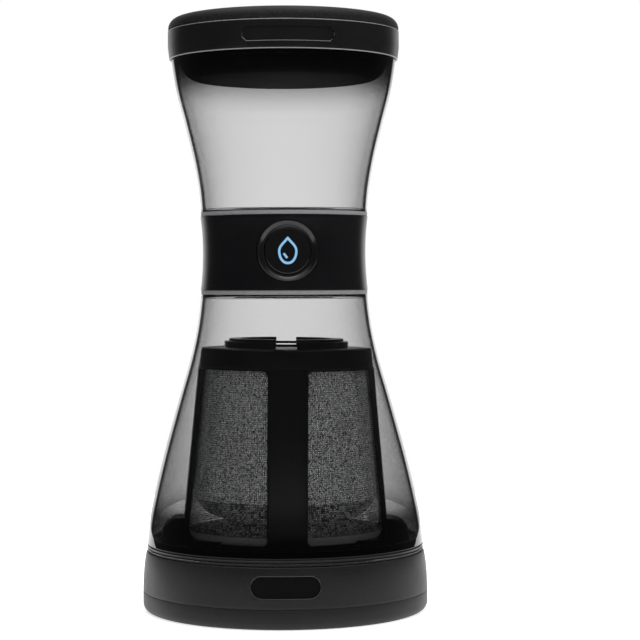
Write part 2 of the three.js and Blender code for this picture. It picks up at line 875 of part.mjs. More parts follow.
// Ring round the button, let into the collar and the core
function buttonRing() {
  const bevel = (ringRadius - ringMouth) / 4;
  return ringAlongY(
    [
      [ringRadius, ringBackY],
      [ringRadius, ringFaceY + bevel],
      [ringRadius - bevel, ringFaceY],
      [ringMouth, ringFaceY],
      [ringMouth, ringFaceY + ringMouthDepth],
      [buttonRadius + gap, ringFaceY + ringMouthDepth],
      [buttonRadius + gap, ringBackY],
    ],
    buttonSteps,
  );
}

// Push button: domed cap, hollow behind, with a boss for the spool's stem
function buttonCap() {
  const hollowY = buttonBackY - buttonHollow;
  const socket = stemRadius + gap;
  const bossRadius = socket + bossWall;
  return turnedAlongY(
    [
      [0, buttonFaceY - buttonDome],
      [buttonRadius / 2, buttonFaceY - buttonDome * domeShoulderShare],
      [buttonRadius - buttonDome, buttonFaceY],
      [buttonRadius, buttonFaceY + buttonDome],
      [buttonRadius, buttonBackY],
      [buttonRadius - buttonWall, buttonBackY],
      [buttonRadius - buttonWall, hollowY],
      [bossRadius, hollowY],
      [bossRadius, buttonBackY],
      [socket, buttonBackY],
      [socket, buttonBackY - stemLength - gap],
      [0, buttonBackY - stemLength - gap],
    ],
    buttonSteps,
  );
}

// Spool: slides in the bore; its waist opens the port when the button is pressed
const frontGrooveY = waistStartY - spoolSealRoom - spoolSealWidth;
const backGrooveY = spoolTail - spoolSealRoom - spoolSealWidth;

function valveSpool() {
  const groove = spoolRadius - spoolSealDepth;
  const grooveAt = (y) => [
    [spoolRadius, y],
    [groove, y],
    [groove, y + spoolSealWidth],
    [spoolRadius, y + spoolSealWidth],
  ];
  return turnedAlongY(
    [
      [0, buttonBackY - stemLength],
      [stemRadius, buttonBackY - stemLength],
      [stemRadius, buttonBackY + gap],
      [spoolRadius, buttonBackY + gap],
      ...grooveAt(frontGrooveY),
      [spoolRadius, waistStartY],
      [waistRadius, waistStartY],
      [waistRadius, waistEndY],
      [spoolRadius, waistEndY],
      ...grooveAt(backGrooveY),
      [spoolRadius, spoolTail],
      [0, spoolTail],
    ],
    valveSteps,
  );
}

function spoolSeal(grooveY) {
  const inner = spoolRadius - spoolSealDepth + gap;
  const outer = boreRadius - gap / 2;
  const front = grooveY + gap / 2;
  const back = grooveY + spoolSealWidth - gap / 2;
  return ringAlongY(
    [
      [inner, front],
      [outer, front],
      [outer, back],
      [inner, back],
    ],
    valveSteps,
  );
}

// Return spring between the spool's end and the end of the bore
class SpringLine extends THREE.Curve {
  constructor(startY, endY) {
    super();
    this.startY = startY;
    this.endY = endY;
  }

  getPoint(t, target = new THREE.Vector3()) {
    const angle = 2 * Math.PI * springTurns * t;
    const y = THREE.MathUtils.lerp(this.startY, this.endY, t);
    return target.set(springRadius * Math.cos(angle), y, buttonZ + springRadius * Math.sin(angle));
  }
}

function valveSpring() {
  const end = springWire / 2 + gap;
  const section = new THREE.Shape(
    Array.from({ length: springSides }, (_, i) => {
      const angle = (2 * Math.PI * i) / springSides;
      return new THREE.Vector2(Math.cos(angle), Math.sin(angle)).multiplyScalar(springWire / 2);
    }),
  );
  const wound = new THREE.ExtrudeGeometry(section, {
    extrudePath: new SpringLine(spoolTail + end, boreEnd - end),
    steps: springTurns * springStepsPerTurn,
  });
  return closed(wound);
}

// Lid plug: a bowl that hangs in the chamber's mouth from a thin flange
function lidPlug() {
  const flangeTopZ = lidFlangeZ + lidFlange;
  const bottomZ = lidFlangeZ - bowlDepth;
  const mouth = servingBore - bowlMouthGap;
  const bend = bottomZ + bowlRound;
  return turned([
    [0, bottomZ],
    ...arc(bowlRadius - bowlRound, bend, bowlRound, -1, 0),
    [mouth, lidFlangeZ],
    [servingScrewRadius, lidFlangeZ],
    [servingScrewRadius, flangeTopZ],
    [mouth - bowlWall, flangeTopZ],
    ...arc(bowlRadius - bowlRound, bend, bowlRound - bowlWall, 0, -1),
    [0, bottomZ + bowlWall],
  ]);
}

// Flat ring between the chamber's rim and the plug's flange
function lidGasket() {
  const inner = servingScrewRadius - lidGasketWidth;
  return flatRing(inner, servingScrewRadius, servingRimZ + gap, lidGasketHeight);
}

// Lid cap: screw skirt, flat plate and a raised disc inside the bumper ring
function lidCap() {
  const topZ = lidPlateZ + lidPlate;
  const disc = bumperBore - gap;
  const shell = turned([
    [0, lidPlateZ + lidDiscRise],
    [disc - lidPlate, lidPlateZ + lidDiscRise],
    [disc - lidPlate, lidPlateZ],
    [lidBore, lidPlateZ],
    [lidBore, lidEdgeZ],
    [lidRadius - lidLean, lidEdgeZ],
    [lidRadius, lidEdgeZ + lidEdgeHeight],
    [lidRadius, topZ],
    [disc, topZ],
    [disc, topZ + lidDiscRise],
    [0, topZ + lidDiscRise],
  ]);
  const middleZ = lidEdgeZ + lidPlaqueRise;
  const corners = chamferedBy(lidPlaqueChamfer);
  const recess = plaque(lidPlaqueWidth, lidPlaqueHeight, middleZ, lidRadius, corners);
  return geometryOf(cut(solid(shell), recess));
}

// Bumper ring: soft ring on the lid, the foot of the brewer when it is turned over
function lidBumperRing() {
  const topZ = bumperZ + bumperHeight;
  return ring([
    [bumperBore, bumperZ],
    [bumperRadius, bumperZ],
    ...arc(bumperRadius - bumperRound, topZ - bumperRound, bumperRound, 0, 1),
    [bumperBore + bumperInnerRound, topZ],
    [bumperBore, topZ - bumperInnerRound],
  ]);
}

place("foot_ring", footRing(), "footRubber");
place("base_cap", baseCap(), "softBlack");
place("base_plug", basePlug(), "blackPlastic");
place("base_gasket", baseGasket(), "seal");
place("brew_chamber", brewChamber(), "smokyClear");
place("filter_cage", filterCage(), "blackPlastic");
place("filter_hem", filterHem(), "blackPlastic");
place("filter_mesh", filterMesh(), "steelMesh");
place("strainer_cup", strainerCup(), "steelMesh");
place("filter_cap_gasket", filterCapGasket(), "seal");
place("filter_cap", filterCap(), "blackPlastic");
place("lower_neck_gasket", neckGasket(buttonZ - coreDeck / 2 - gap - neckGasketHeight), "seal");
place("collar", collar(), "blackPlastic");
place("valve_core", valveCore(), "blackPlastic");
place("button_ring", buttonRing(), "blackPlastic");
place("button_cap", buttonCap(), "blackPlastic");
place("valve_spool", valveSpool(), "blackPlastic");
place("spool_seal_front", spoolSeal(frontGrooveY), "seal");
place("spool_seal_back", spoolSeal(backGrooveY), "seal");
place("valve_spring", valveSpring(), "springSteel");
place("upper_neck_gasket", neckGasket(buttonZ + coreDeck / 2 + gap), "seal");
place("serving_chamber", servingChamber(), "smokyClear");
place("lid_plug", lidPlug(), "blackPlastic");
place("lid_gasket", lidGasket(), "seal");
place("lid_cap", lidCap(), "blackPlastic");
place("lid_bumper_ring", lidBumperRing(), "softBlack");

export default product;
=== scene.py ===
"""Cold brew coffee maker: fine surfaces, finishes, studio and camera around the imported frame."""

import logging
import math
from collections.abc import Callable, Sequence
from dataclasses import dataclass, field
from enum import Enum

import bpy
from mathutils import Euler, Matrix, Vector


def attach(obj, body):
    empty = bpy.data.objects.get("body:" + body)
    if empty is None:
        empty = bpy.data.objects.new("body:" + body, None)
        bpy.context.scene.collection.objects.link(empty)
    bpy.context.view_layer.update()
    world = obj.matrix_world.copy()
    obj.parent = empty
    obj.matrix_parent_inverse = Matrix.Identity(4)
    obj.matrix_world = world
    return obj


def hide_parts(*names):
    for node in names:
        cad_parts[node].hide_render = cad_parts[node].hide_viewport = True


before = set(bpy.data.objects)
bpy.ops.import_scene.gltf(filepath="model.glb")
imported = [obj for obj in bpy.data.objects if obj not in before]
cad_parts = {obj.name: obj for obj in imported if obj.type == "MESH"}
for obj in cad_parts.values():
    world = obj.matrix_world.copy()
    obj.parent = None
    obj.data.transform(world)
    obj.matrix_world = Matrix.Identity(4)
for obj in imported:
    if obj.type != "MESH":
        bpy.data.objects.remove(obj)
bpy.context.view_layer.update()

LOG = logging.getLogger("brewer")

MM = 0.001
ROUND_STEPS = 160  # faces round a large turned piece
SMALL_STEPS = 96  # faces round the button's pieces
MERGE = 1e-6  # metres between points that are one
SHARP = 32.0  # degrees past which an edge is shaded sharp or rounded
BLUNT = 40.0  # the same, where the bends of a curved side are left alone
QUARTERS = (45, 135, 225, 315)  # where the filter's hooks and tabs stand, in degrees
BLACK = (0.0, 0.0, 0.0, 1.0)
WHITE = (1.0, 1.0, 1.0, 1.0)

Pair = tuple[float, float]
Outline = list[Pair]  # radius and height of each point, in millimetres
Colour = tuple[float, float, float, float]


class Ends(Enum):
    """How the outline of a turned piece is finished."""

    RING = "its last point joins its first"
    SOLID = "both ends are closed on the axis"


# Colours and nodes


def linear(colour: str) -> Colour:
    """Turn an sRGB hex colour to the linear values that Blender takes.

    Args:
        colour: six hex digits, such as "2b2b2d".

    Returns:
        Linear red, green and blue, and an alpha of 1.
    """
    shares = [int(colour[i : i + 2], 16) / 255 for i in (0, 2, 4)]
    flat = [s / 12.92 if s <= 0.04045 else ((s + 0.055) / 1.055) ** 2.4 for s in shares]
    return (flat[0], flat[1], flat[2], 1.0)


def add_node(
    tree: bpy.types.NodeTree,
    kind: str,
    inputs: dict[int | str, object] | None = None,
    stops: Sequence[tuple[float, Colour]] = (),
    **settings: object,
) -> bpy.types.Node:
    """Add a node with its settings and links.

    Args:
        tree: the node tree that gets it.
        kind: Blender's name for the kind of node, without ShaderNode.
        inputs: input to a value, to the output that feeds it, or to a node whose first output does.
        stops: place and colour of each stop of a colour ramp.
        **settings: the node's own settings.

    Returns:
        The new node.
    """
    node = tree.nodes.new("ShaderNode" + kind)
    for name, value in settings.items():
        setattr(node, name, value)
    for key, value in (inputs or {}).items():
        if isinstance(value, bpy.types.Node):
            value = value.outputs[0]
        if isinstance(value, bpy.types.NodeSocket):
            tree.links.new(value, node.inputs[key])
        else:
            node.inputs[key].default_value = value
    for _ in stops[2:]:
        node.color_ramp.elements.new(0.5)
    if stops:
        for element, (at, colour) in zip(node.color_ramp.elements, stops):
            element.position = at
            element.color = colour
    return node


# Finishes


@dataclass(frozen=True)
class Finish:
    """What a surface is made of, named for the real material and how it was made."""

    name: str

    def material(self) -> bpy.types.Material:
        """Build the finish's material.

        Returns:
            The material.
        """
        material = bpy.data.materials.new(self.name)
        material.use_nodes = True
        material.node_tree.nodes.clear()
        add_node(material.node_tree, "OutputMaterial", self.shaders(material.node_tree))
        return material

    def shaders(self, tree: bpy.types.NodeTree) -> dict[str, bpy.types.Node]:
        """Add the finish's nodes and give the shader of each of the material's outputs."""
        raise NotImplementedError


@dataclass(frozen=True)
class Moulded(Finish):
    """An opaque moulding or coating with a fine grain and an uneven gloss."""

    colour: str
    roughness: float
    specular: float  # 0.5 is the plain reflection of the IOR
    grain_mm: float
    grain_depth_mm: float = 0.0
    speckle: float = 0.0  # how much lighter the grain's tops are
    gloss_spread: float = 0.06
    patch_mm: float = 22.0  # size of the patches where the gloss differs
    ior: float = 1.5
    metallic: float = 0.0
    sheen: float = 0.0

    def shaders(self, tree: bpy.types.NodeTree) -> dict[str, bpy.types.Node]:
        """Put the grain in the colour and the bump, and slow patches in the gloss.

        Args:
            tree: the material's node tree.

        Returns:
            The surface's shader.
        """
        place = add_node(tree, "TexCoord").outputs["Object"]
        fine = {"Vector": place, "Scale": 1 / (self.grain_mm * MM), "Detail": 3.0, "Roughness": 0.65}
        grain = add_node(tree, "TexNoise", fine)
        slow = {"Vector": place, "Scale": 1 / (self.patch_mm * MM), "Detail": 2.0}
        gloss = add_node(tree, "MapRange", {
            "Value": add_node(tree, "TexNoise", slow), "From Min": 0.3, "From Max": 0.7,
            "To Min": self.roughness - self.gloss_spread, "To Max": self.roughness + self.gloss_spread,
        })
        base = linear(self.colour)
        light = tuple(min(1.0, c * (1 + self.speckle)) for c in base[:3]) + (1.0,)
        dark = tuple(c * (1 - self.speckle / 2) for c in base[:3]) + (1.0,)
        tone = add_node(tree, "MapRange", {"Value": grain, "From Min": 0.35, "From Max": 0.65})
        colour = add_node(tree, "Mix", {0: tone, 6: dark, 7: light}, data_type="RGBA")
        sockets = {
            "Base Color": colour.outputs[2], "Roughness": gloss, "Metallic": self.metallic,
            "IOR": self.ior, "Specular IOR Level": self.specular, "Sheen Weight": self.sheen,
        }
        if self.grain_depth_mm:
            relief = {"Height": grain, "Strength": 1.0, "Distance": self.grain_depth_mm * MM}
            sockets["Normal"] = add_node(tree, "Bump", relief)
        return {"Surface": add_node(tree, "BsdfPrincipled", sockets)}


@dataclass(frozen=True)
class SmokyClear(Finish):
    """Smoke-tinted clear copolyester, injection moulded against polished steel, with painted shade by height
    and at its edges.
    """

    absorption: float  # per metre of wall
    # Painted shade by height, darker at the chambers' foot and under the lid
    shade_by_height: tuple[tuple[float, float, float], ...]  # height in mm, share let by face on and from the side
    # Painted shade by how far a wall of about 2.4 mm turns away: darker and darker, then a painted dark line
    # where the bore begins, then a painted bright rim in the wall itself
    edges: tuple[Pair, ...] = (
        (0.0, 1.0), (0.2, 0.92), (0.36, 0.76), (0.47, 0.66), (0.517, 0.6), (0.6, 0.54), (0.645, 0.51),
        (0.67, 0.48), (0.695, 0.42), (0.715, 0.34), (0.735, 0.22), (0.748, 0.04), (0.755, 0.02),
        (0.795, 0.015), (0.81, 0.8), (0.82, 1.0), (1.0, 1.0),
    )
    ior: float = 1.5
    specular: float = 0.5
    roughness: float = 0.0
    wave_mm: float = 32.0
    wave_depth_mm: float = 0.1

    def shaders(self, tree: bpy.types.NodeTree) -> dict[str, bpy.types.Node]:
        """Make a clear wall, with a tint that grows with its thickness, and painted shade by height and
        where it turns away.

        Args:
            tree: the material's node tree.

        Returns:
            The shaders of the surface and of the absorbing volume.
        """
        place = add_node(tree, "TexCoord").outputs["Object"]
        # Moulded walls are never quite even: slow waves bend what shows through
        slow = {"Vector": place, "Scale": 1 / (self.wave_mm * MM), "Detail": 0.0}
        waves = add_node(tree, "TexNoise", slow)
        relief = {"Height": waves, "Strength": 1.0, "Distance": self.wave_depth_mm * MM}
        bump = add_node(tree, "Bump", relief)
        # Painted shade by height: the wall is painted darker at the chamber's foot and under the lid
        low, high = self.shade_by_height[0][0], self.shade_by_height[-1][0]
        height = add_node(tree, "SeparateXYZ", {"Vector": place}).outputs["Z"]
        level = add_node(tree, "MapRange", {"Value": height, "From Min": low * MM, "From Max": high * MM})
        shares = [((at - low) / (high - low), (face, side, 0.0, 1.0)) for at, face, side in self.shade_by_height]
        height_shade = add_node(tree, "ValToRGB", {"Fac": level}, shares)
        both = add_node(tree, "SeparateColor", {"Color": height_shade})
        # Painted shade where the wall is seen edge on, with a painted dark line and a painted bright rim at
        # its very edge
        facing = add_node(tree, "LayerWeight", {"Blend": 0.5}).outputs["Facing"]
        greys = [(at, (share, share, share, 1.0)) for at, share in self.edges]
        edge = add_node(tree, "ValToRGB", {"Fac": facing}, greys)
        turned_away = add_node(tree, "MapRange", {"Value": facing, "From Min": 0.1, "From Max": 0.36})
        depth = add_node(tree, "Mix", {0: turned_away, 2: both.outputs["Red"], 3: both.outputs["Green"]})
        walls = add_node(tree, "Math", {0: edge, 1: depth}, operation="MULTIPLY")
        # Only the outer skin carries the painted shade
        outside = add_node(tree, "Attribute", attribute_name="outer_skin").outputs["Fac"]
        skin = add_node(tree, "Mix", {0: outside, 2: 1.0, 3: walls})
        shader = add_node(tree, "BsdfPrincipled", {
            "Base Color": skin, "Roughness": self.roughness, "IOR": self.ior,
            "Specular IOR Level": self.specular, "Transmission Weight": 1.0, "Normal": bump,
        })
        smoked = add_node(tree, "VolumeAbsorption", {"Color": BLACK, "Density": self.absorption})
        return {"Surface": shader, "Volume": smoked}


@dataclass(frozen=True)
class Woven(Finish):
    """Fine plain weave, whose wires pass over and under each other, with open holes."""

    colour: str
    roughness: float
    pitch_mm: float  # from wire to wire
    wire_share: float  # share of the pitch that a wire takes
    catch: float = 1.0  # how differently the crossings catch the light
    wander: float = 0.6  # how far the rows wander, in pitches

    def shaders(self, tree: bpy.types.NodeTree) -> dict[str, bpy.types.Node]:
        """Draw the weave on the piece's own UV map, which is in millimetres.

        Args:
            tree: the material's node tree.

        Returns:
            The surface's shader.
        """
        place = add_node(tree, "UVMap", uv_map="weave").outputs["UV"]
        # No two wires lie quite true, so the rows wander by a fraction of the pitch
        slow = {"Vector": place, "Scale": 1 / (3 * self.pitch_mm), "Detail": 1.0}
        drift = add_node(tree, "TexNoise", slow).outputs["Color"]
        centred = add_node(tree, "VectorMath", {0: drift, 1: (0.5, 0.5, 0.5)}, operation="SUBTRACT")
        reach = (self.pitch_mm * self.wander,) * 3
        moved = add_node(tree, "VectorMath", {0: centred, 1: reach, 2: place}, operation="MULTIPLY_ADD")
        split = add_node(tree, "SeparateXYZ", {"Vector": moved})
        waves, crests = [], []
        for axis in ("X", "Y"):
            scaled = {0: split.outputs[axis], 1: math.pi / self.pitch_mm}
            turn = add_node(tree, "Math", scaled, operation="MULTIPLY")
            waves.append(add_node(tree, "Math", {0: turn}, operation="SINE"))
            crests.append(add_node(tree, "Math", {0: waves[-1]}, operation="ABSOLUTE"))
        # The sign of the two waves' product says which wire is on top in a crossing
        over = add_node(tree, "Math", {0: waves[0], 1: waves[1]}, operation="MULTIPLY")
        warp_on_top = add_node(tree, "Math", {0: over, 1: 0.0}, operation="GREATER_THAN")
        top = add_node(tree, "Mix", {0: warp_on_top, 2: crests[1], 3: crests[0]})
        widest = add_node(tree, "Math", {0: crests[0], 1: crests[1]}, operation="MAXIMUM")
        rim = math.sin(math.pi / 2 * (1 - self.wire_share))
        holes = {"Value": widest, "From Min": rim - 0.06, "From Max": min(1.0, rim + 0.06)}
        alpha = add_node(tree, "MapRange", holes)
        # Each wire is painted lighter on its crest and darker towards its sides: painted shade of a round
        # wire
        round_wire = {"Value": top, "From Min": rim - 0.1, "From Max": 1.0, "To Min": 0.05}
        shade = add_node(tree, "MapRange", round_wire, interpolation_type="SMOOTHSTEP")
        # Each crossing lies at an angle of its own and catches the light differently
        cell = add_node(tree, "VectorMath", {0: moved, 1: (1 / self.pitch_mm,) * 3}, operation="MULTIPLY")
        cell = add_node(tree, "VectorMath", {0: cell}, operation="FLOOR")
        chance = add_node(tree, "TexWhiteNoise", {"Vector": cell}, noise_dimensions="2D")
        spread = {"Value": chance, "To Min": 1 - self.catch, "To Max": 1 + self.catch}
        catch = add_node(tree, "MapRange", spread)
        lit = add_node(tree, "Math", {0: shade, 1: catch}, operation="MULTIPLY")
        tones = {0: lit, 6: BLACK, 7: linear(self.colour)}
        colour = add_node(tree, "Mix", tones, data_type="RGBA", clamp_factor=False).outputs[2]
        sockets = {"Base Color": colour, "Roughness": self.roughness, "Metallic": 0.0, "Alpha": alpha}
        return {"Surface": add_node(tree, "BsdfPrincipled", sockets)}


@dataclass(frozen=True)
class PaintedGlowInlay(Finish):
    """Frosted acrylic with a painted glow, though no lamp is inside it."""

    colour: str
    strength: float

    def shaders(self, tree: bpy.types.NodeTree) -> dict[str, bpy.types.Node]:
        """Make an even painted glow that is a little weaker towards its edges.

        Args:
            tree: the material's node tree.

        Returns:
            The surface's shader.
        """
        facing = add_node(tree, "LayerWeight", {"Blend": 0.35}).outputs["Facing"]
        fall = {"Value": facing, "To Min": self.strength, "To Max": self.strength / 2}
        return {"Surface": add_node(tree, "BsdfPrincipled", {
            "Base Color": (0.02, 0.02, 0.02, 1.0), "Roughness": 0.4,
            "Emission Color": linear(self.colour), "Emission Strength": add_node(tree, "MapRange", fall),
        })}


@dataclass(frozen=True)
class PaperSweep(Finish):
    """White studio paper that shows white to the camera and keeps the brewer's shadow."""

    colour: str = "f4f4f4"
    near_lift: float = 0.58  # glow close to the brewer
    far_lift: float = 0.82  # and at the paper's edge
    near: float = 0.1  # metres from the brewer
    far: float = 0.5

    def shaders(self, tree: bpy.types.NodeTree) -> dict[str, bpy.types.Node]:
        """Add a glow that only the camera, mirrors and clear pieces see.

        Args:
            tree: the material's node tree.

        Returns:
            The surface's shader.
        """
        paper = add_node(tree, "BsdfDiffuse", {"Color": linear(self.colour)})
        place = add_node(tree, "TexCoord").outputs["Object"]
        away = add_node(tree, "VectorMath", {0: place}, operation="LENGTH").outputs["Value"]
        lift = add_node(tree, "MapRange", {
            "Value": away, "From Min": self.near, "From Max": self.far,
            "To Min": self.near_lift, "To Max": self.far_lift,
        })
        path = add_node(tree, "LightPath").outputs
        seen = path["Is Camera Ray"]
        for kind in ("Is Glossy Ray", "Is Transmission Ray"):
            seen = add_node(tree, "Math", {0: seen, 1: path[kind]}, operation="MAXIMUM")
        strength = add_node(tree, "Math", {0: seen, 1: lift}, operation="MULTIPLY")
        glow = add_node(tree, "Emission", {"Color": WHITE, "Strength": strength})
        return {"Surface": add_node(tree, "AddShader", {0: paper, 1: glow})}


# ABS moulded against a lightly eroded tool: a deep black with a satin, even reflection
SATIN_ABS = Moulded("satin_black_abs", "08080a", 0.24, 0.4, 0.7, 0.002, speckle=0.25, gloss_spread=0.04)
# The same ABS on the pieces inside, which show through the chambers
INNER_ABS = Moulded("inner_black_abs", "070708", 0.34, 0.25, 0.7, speckle=0.2)
# The same from a more eroded tool: matt, so that it stays black where it is seen at a slant
BOWL_ABS = Moulded("eroded_black_abs", "0a0a0b", 0.8, 0.06, 0.7, speckle=0.2)
# The same ABS from a polished tool: a clear dark reflection with bright, narrow edges
GLOSS_ABS = Moulded("gloss_black_abs", "0a0a0b", 0.16, 0.5, 0.9, speckle=0.1, gloss_spread=0.03)
# Soft-touch polyurethane lacquer: a grey-black bloom with a visible grain, no clear reflection.
# The real grain is about 0.2 mm and is drawn 1 mm wide, so that it shows.
SOFT_TOUCH = Moulded(
    "soft_touch_lacquer", "08080a", 0.45, 0.34, 1.0, 0.03, speckle=1.2, gloss_spread=0.05, sheen=0.05
)
# Thermoplastic elastomer, moulded: matt and a shade lighter than the cap above it
FOOT_TPE = Moulded(
    "moulded_tpe_foot", "070708", 0.5, 0.38, 1.1, 0.03, speckle=1.0, gloss_spread=0.05, sheen=0.09
)
# The same on the lid, a little paler
BUMPER_TPE = Moulded(
    "moulded_tpe_bumper", "131314", 0.55, 0.2, 1.0, 0.03, speckle=0.9, gloss_spread=0.05, sheen=0.006
)
# Hem of the sleeve: ABS with a plain satin face, painted mid grey: painted light where light grazes it
HEM_ABS_PAINTED_LIGHT = Moulded("satin_abs_hem_painted_light", "868688", 0.45, 0.4, 0.7, speckle=0.2)
# The lid's ABS from a slightly coarser tool, with a faint grain
LID_ABS = Moulded("grained_black_abs", "0c0c0d", 0.32, 0.38, 0.8, 0.008, speckle=0.6, gloss_spread=0.05)
# The button's ring: the same ABS, polished on its slope, which shows the light above and below
RING_ABS = Moulded("polished_black_abs_ring", "0c0c0d", 0.2, 0.55, 0.9, speckle=0.1, gloss_spread=0.03)
# Painted highlights on rounded edges, bright on ABS and softer on lacquer
ABS_EDGE_HIGHLIGHT = Moulded("abs_edge_painted_highlight", "6c6c6e", 0.3, 0.6, 0.8, speckle=0.3)
LACQUER_EDGE_HIGHLIGHT = Moulded("lacquer_edge_painted_highlight", "3a3a3c", 0.35, 0.5, 0.8, speckle=0.3)
# The neck's sealing land, painted light grey: painted light where light shows through the neck's thick floor
LAND_PAINTED_LIGHT = Moulded("copolyester_land_painted_light", "6c6c6e", 0.5, 0.4, 0.8, speckle=0.3)
# Moulded silicone seals: matt and dark
SILICONE = Moulded("moulded_silicone", "161617", 0.6, 0.4, 0.8, speckle=0.15, ior=1.42)
# Drawn stainless spring wire: bright, with a fine, shallow grain
SPRING_WIRE = Moulded("drawn_stainless_wire", "b9bcc0", 0.25, 0.5, 0.5, 0.004, speckle=0.1, metallic=1.0)
# Smoky clear copolyester: grey and see-through, painted darker at its sides. Painted shade darkens the
# brew chamber towards its foot and makes it nearly black below the plug's rim.
BREW_SMOKE_AND_SHADE = SmokyClear("smoky_copolyester_brew_painted_shade", 69.0, (
    (33.9, 0.0005, 0.0005), (41.0, 0.0006, 0.001), (41.8, 0.2, 0.1), (46, 0.2, 0.05), (50, 0.28, 0.02),
    (55, 0.37, 0.02), (58, 0.5, 0.1), (61, 0.72, 0.3), (66, 1.0, 0.4), (76, 1.0, 0.47),
    (100, 1.0, 0.56), (125, 1.0, 0.76), (150, 1.0, 1.0),
))
# The same, with painted shade that deepens under the lid
SERVING_SMOKE_AND_SHADE = SmokyClear("smoky_copolyester_serving_painted_shade", 57.0, (
    (272, 1.0, 1.0), (281, 0.94, 0.9), (286, 0.74, 0.6), (291, 0.46, 0.14), (296, 0.27, 0.03),
    (300, 0.13, 0.008), (306, 0.08, 0.002),
))
# Woven stainless sleeve: fine bright wires with dark holes, which scatter light to all sides and
# so look matt. The real ones are about 0.15 mm apart and are drawn 1.12 mm apart, so that they show.
OUTER_WEAVE = Woven("woven_stainless_sleeve", "929394", 0.5, pitch_mm=1.12, wire_share=0.25)
# The cup's weave is so fine that it looks closed. It is drawn coarser too, 0.65 mm apart.
CUP_WEAVE = Woven("woven_stainless_cup", "eeeeef", 0.55, pitch_mm=0.65, wire_share=0.95)
# The drop on the button: a pale blue, even painted glow, with no lamp behind it
SYMBOL_PAINTED_GLOW = PaintedGlowInlay("frosted_acrylic_painted_glow", "8fd0ff", 0.8)


# Modelling tools


def clear_selection() -> None:
    """Leave edit mode and deselect every object."""
    if bpy.context.mode != "OBJECT":
        bpy.ops.object.mode_set(mode="OBJECT")
    bpy.ops.object.select_all(action="DESELECT")


def activate(piece: bpy.types.Object) -> None:
    """Select one object alone and make it the active one.

    Args:
        piece: the object.
    """
    clear_selection()
    piece.select_set(True)
    bpy.context.view_layer.objects.active = piece


def named(name: str) -> bpy.types.Object:
    """Name the object that an operator has just added.

    Args:
        name: the piece's name.

    Returns:
        That object.
    """
    piece = bpy.context.object
    piece.name = piece.data.name = name
    return piece


def duplicate(piece: bpy.types.Object) -> bpy.types.Object:
    """Copy a piece.

    Args:
        piece: the piece.

    Returns:
        The copy, with its own mesh.
    """
    copy = piece.copy()
    copy.data = piece.data.copy()
    bpy.context.scene.collection.objects.link(copy)
    return copy


def close_up() -> None:
    """Merge doubles in the mesh in edit mode, point its faces outwards and leave edit mode."""
    bpy.ops.mesh.select_all(action="SELECT")
    bpy.ops.mesh.remove_doubles(threshold=MERGE)
    bpy.ops.mesh.normals_make_consistent(inside=False)
    bpy.ops.object.mode_set(mode="OBJECT")


def select_vertices(piece: bpy.types.Object, wanted: set[int]) -> None:
    """Select some vertices of the active piece, by number, in edit mode.

    Args:
        piece: the piece, which is in edit mode.
        wanted: the numbers of its vertices.
    """
    bpy.ops.mesh.select_mode(type="VERT")
    bpy.ops.mesh.select_all(action="DESELECT")
    bpy.ops.object.mode_set(mode="OBJECT")
    for vertex in piece.data.vertices:
        vertex.select = vertex.index in wanted
    bpy.ops.object.mode_set(mode="EDIT")


def extrude_ring(old: Pair, new: Pair) -> None:
    """Extrude the selected ring of edges about Z to the next point of an outline.

    Args:
        old: radius and height of the selected ring, in millimetres.
        new: radius and height of the next one.
    """
    rise = (new[1] - old[1]) * MM
    bpy.ops.mesh.extrude_edges_move(TRANSFORM_OT_translate={"value": (0, 0, rise)})
    scale = new[0] / old[0]
    bpy.ops.transform.resize(value=(scale, scale, 1), center_override=(0, 0, 0))


def turned(name: str, outline: Outline, ends: Ends, steps: int = ROUND_STEPS) -> bpy.types.Object:
    """Model a piece that is round about Z, ring by ring from a circle.

    Args:
        name: the piece's name.
        outline: radius and height of each ring. The axis isn't in it.
        ends: how the first and the last ring are finished.
        steps: faces round the piece.

    Returns:
        The piece, in object mode.
    """
    clear_selection()
    first = last = outline[0]
    bpy.ops.mesh.primitive_circle_add(vertices=steps, radius=first[0] * MM, location=(0, 0, first[1] * MM))
    piece = named(name)
    bpy.ops.object.mode_set(mode="EDIT")
    bpy.ops.mesh.select_all(action="SELECT")
    for point in outline[1:] + ([first] if ends is Ends.RING else []):
        extrude_ring(last, point)
        last = point
    if ends is Ends.SOLID:
        extrude_ring(last, (0.0, last[1]))
        select_vertices(piece, set(range(steps)))
        extrude_ring(first, (0.0, first[1]))
    close_up()
    bpy.ops.object.transform_apply()
    return piece


def swept(name: str, outline: Outline, half_turn: float, steps: int = 8) -> bpy.types.Object:
    """Model a solid that follows an outline on both sides of the front, bent round Z.

    Args:
        name: the piece's name.
        outline: radius and height of each corner, in order.
        half_turn: how far it reaches to each side, in degrees.
        steps: faces along it.

    Returns:
        The solid, in object mode.
    """
    clear_selection()
    bpy.ops.mesh.primitive_circle_add(vertices=len(outline), radius=MM, fill_type="NGON")
    piece = named(name)
    for vertex, (radius, height) in zip(piece.data.vertices, outline):
        vertex.co = Vector((0, -radius * MM, height * MM))
    bpy.ops.object.mode_set(mode="EDIT")
    bpy.ops.mesh.select_all(action="SELECT")
    reach = math.radians(half_turn)
    bpy.ops.transform.rotate(value=reach, orient_axis="Z", center_override=(0, 0, 0))
    bpy.ops.mesh.spin(steps=steps, angle=2 * reach, center=(0, 0, 0), axis=(0, 0, 1), use_auto_merge=False)
    close_up()
    turns = [math.atan2(v.co.x, -v.co.y) for v in piece.data.vertices]
    piece.rotation_euler = Euler((0, 0, -(min(turns) + max(turns)) / 2))
    bpy.ops.object.transform_apply()
    return piece


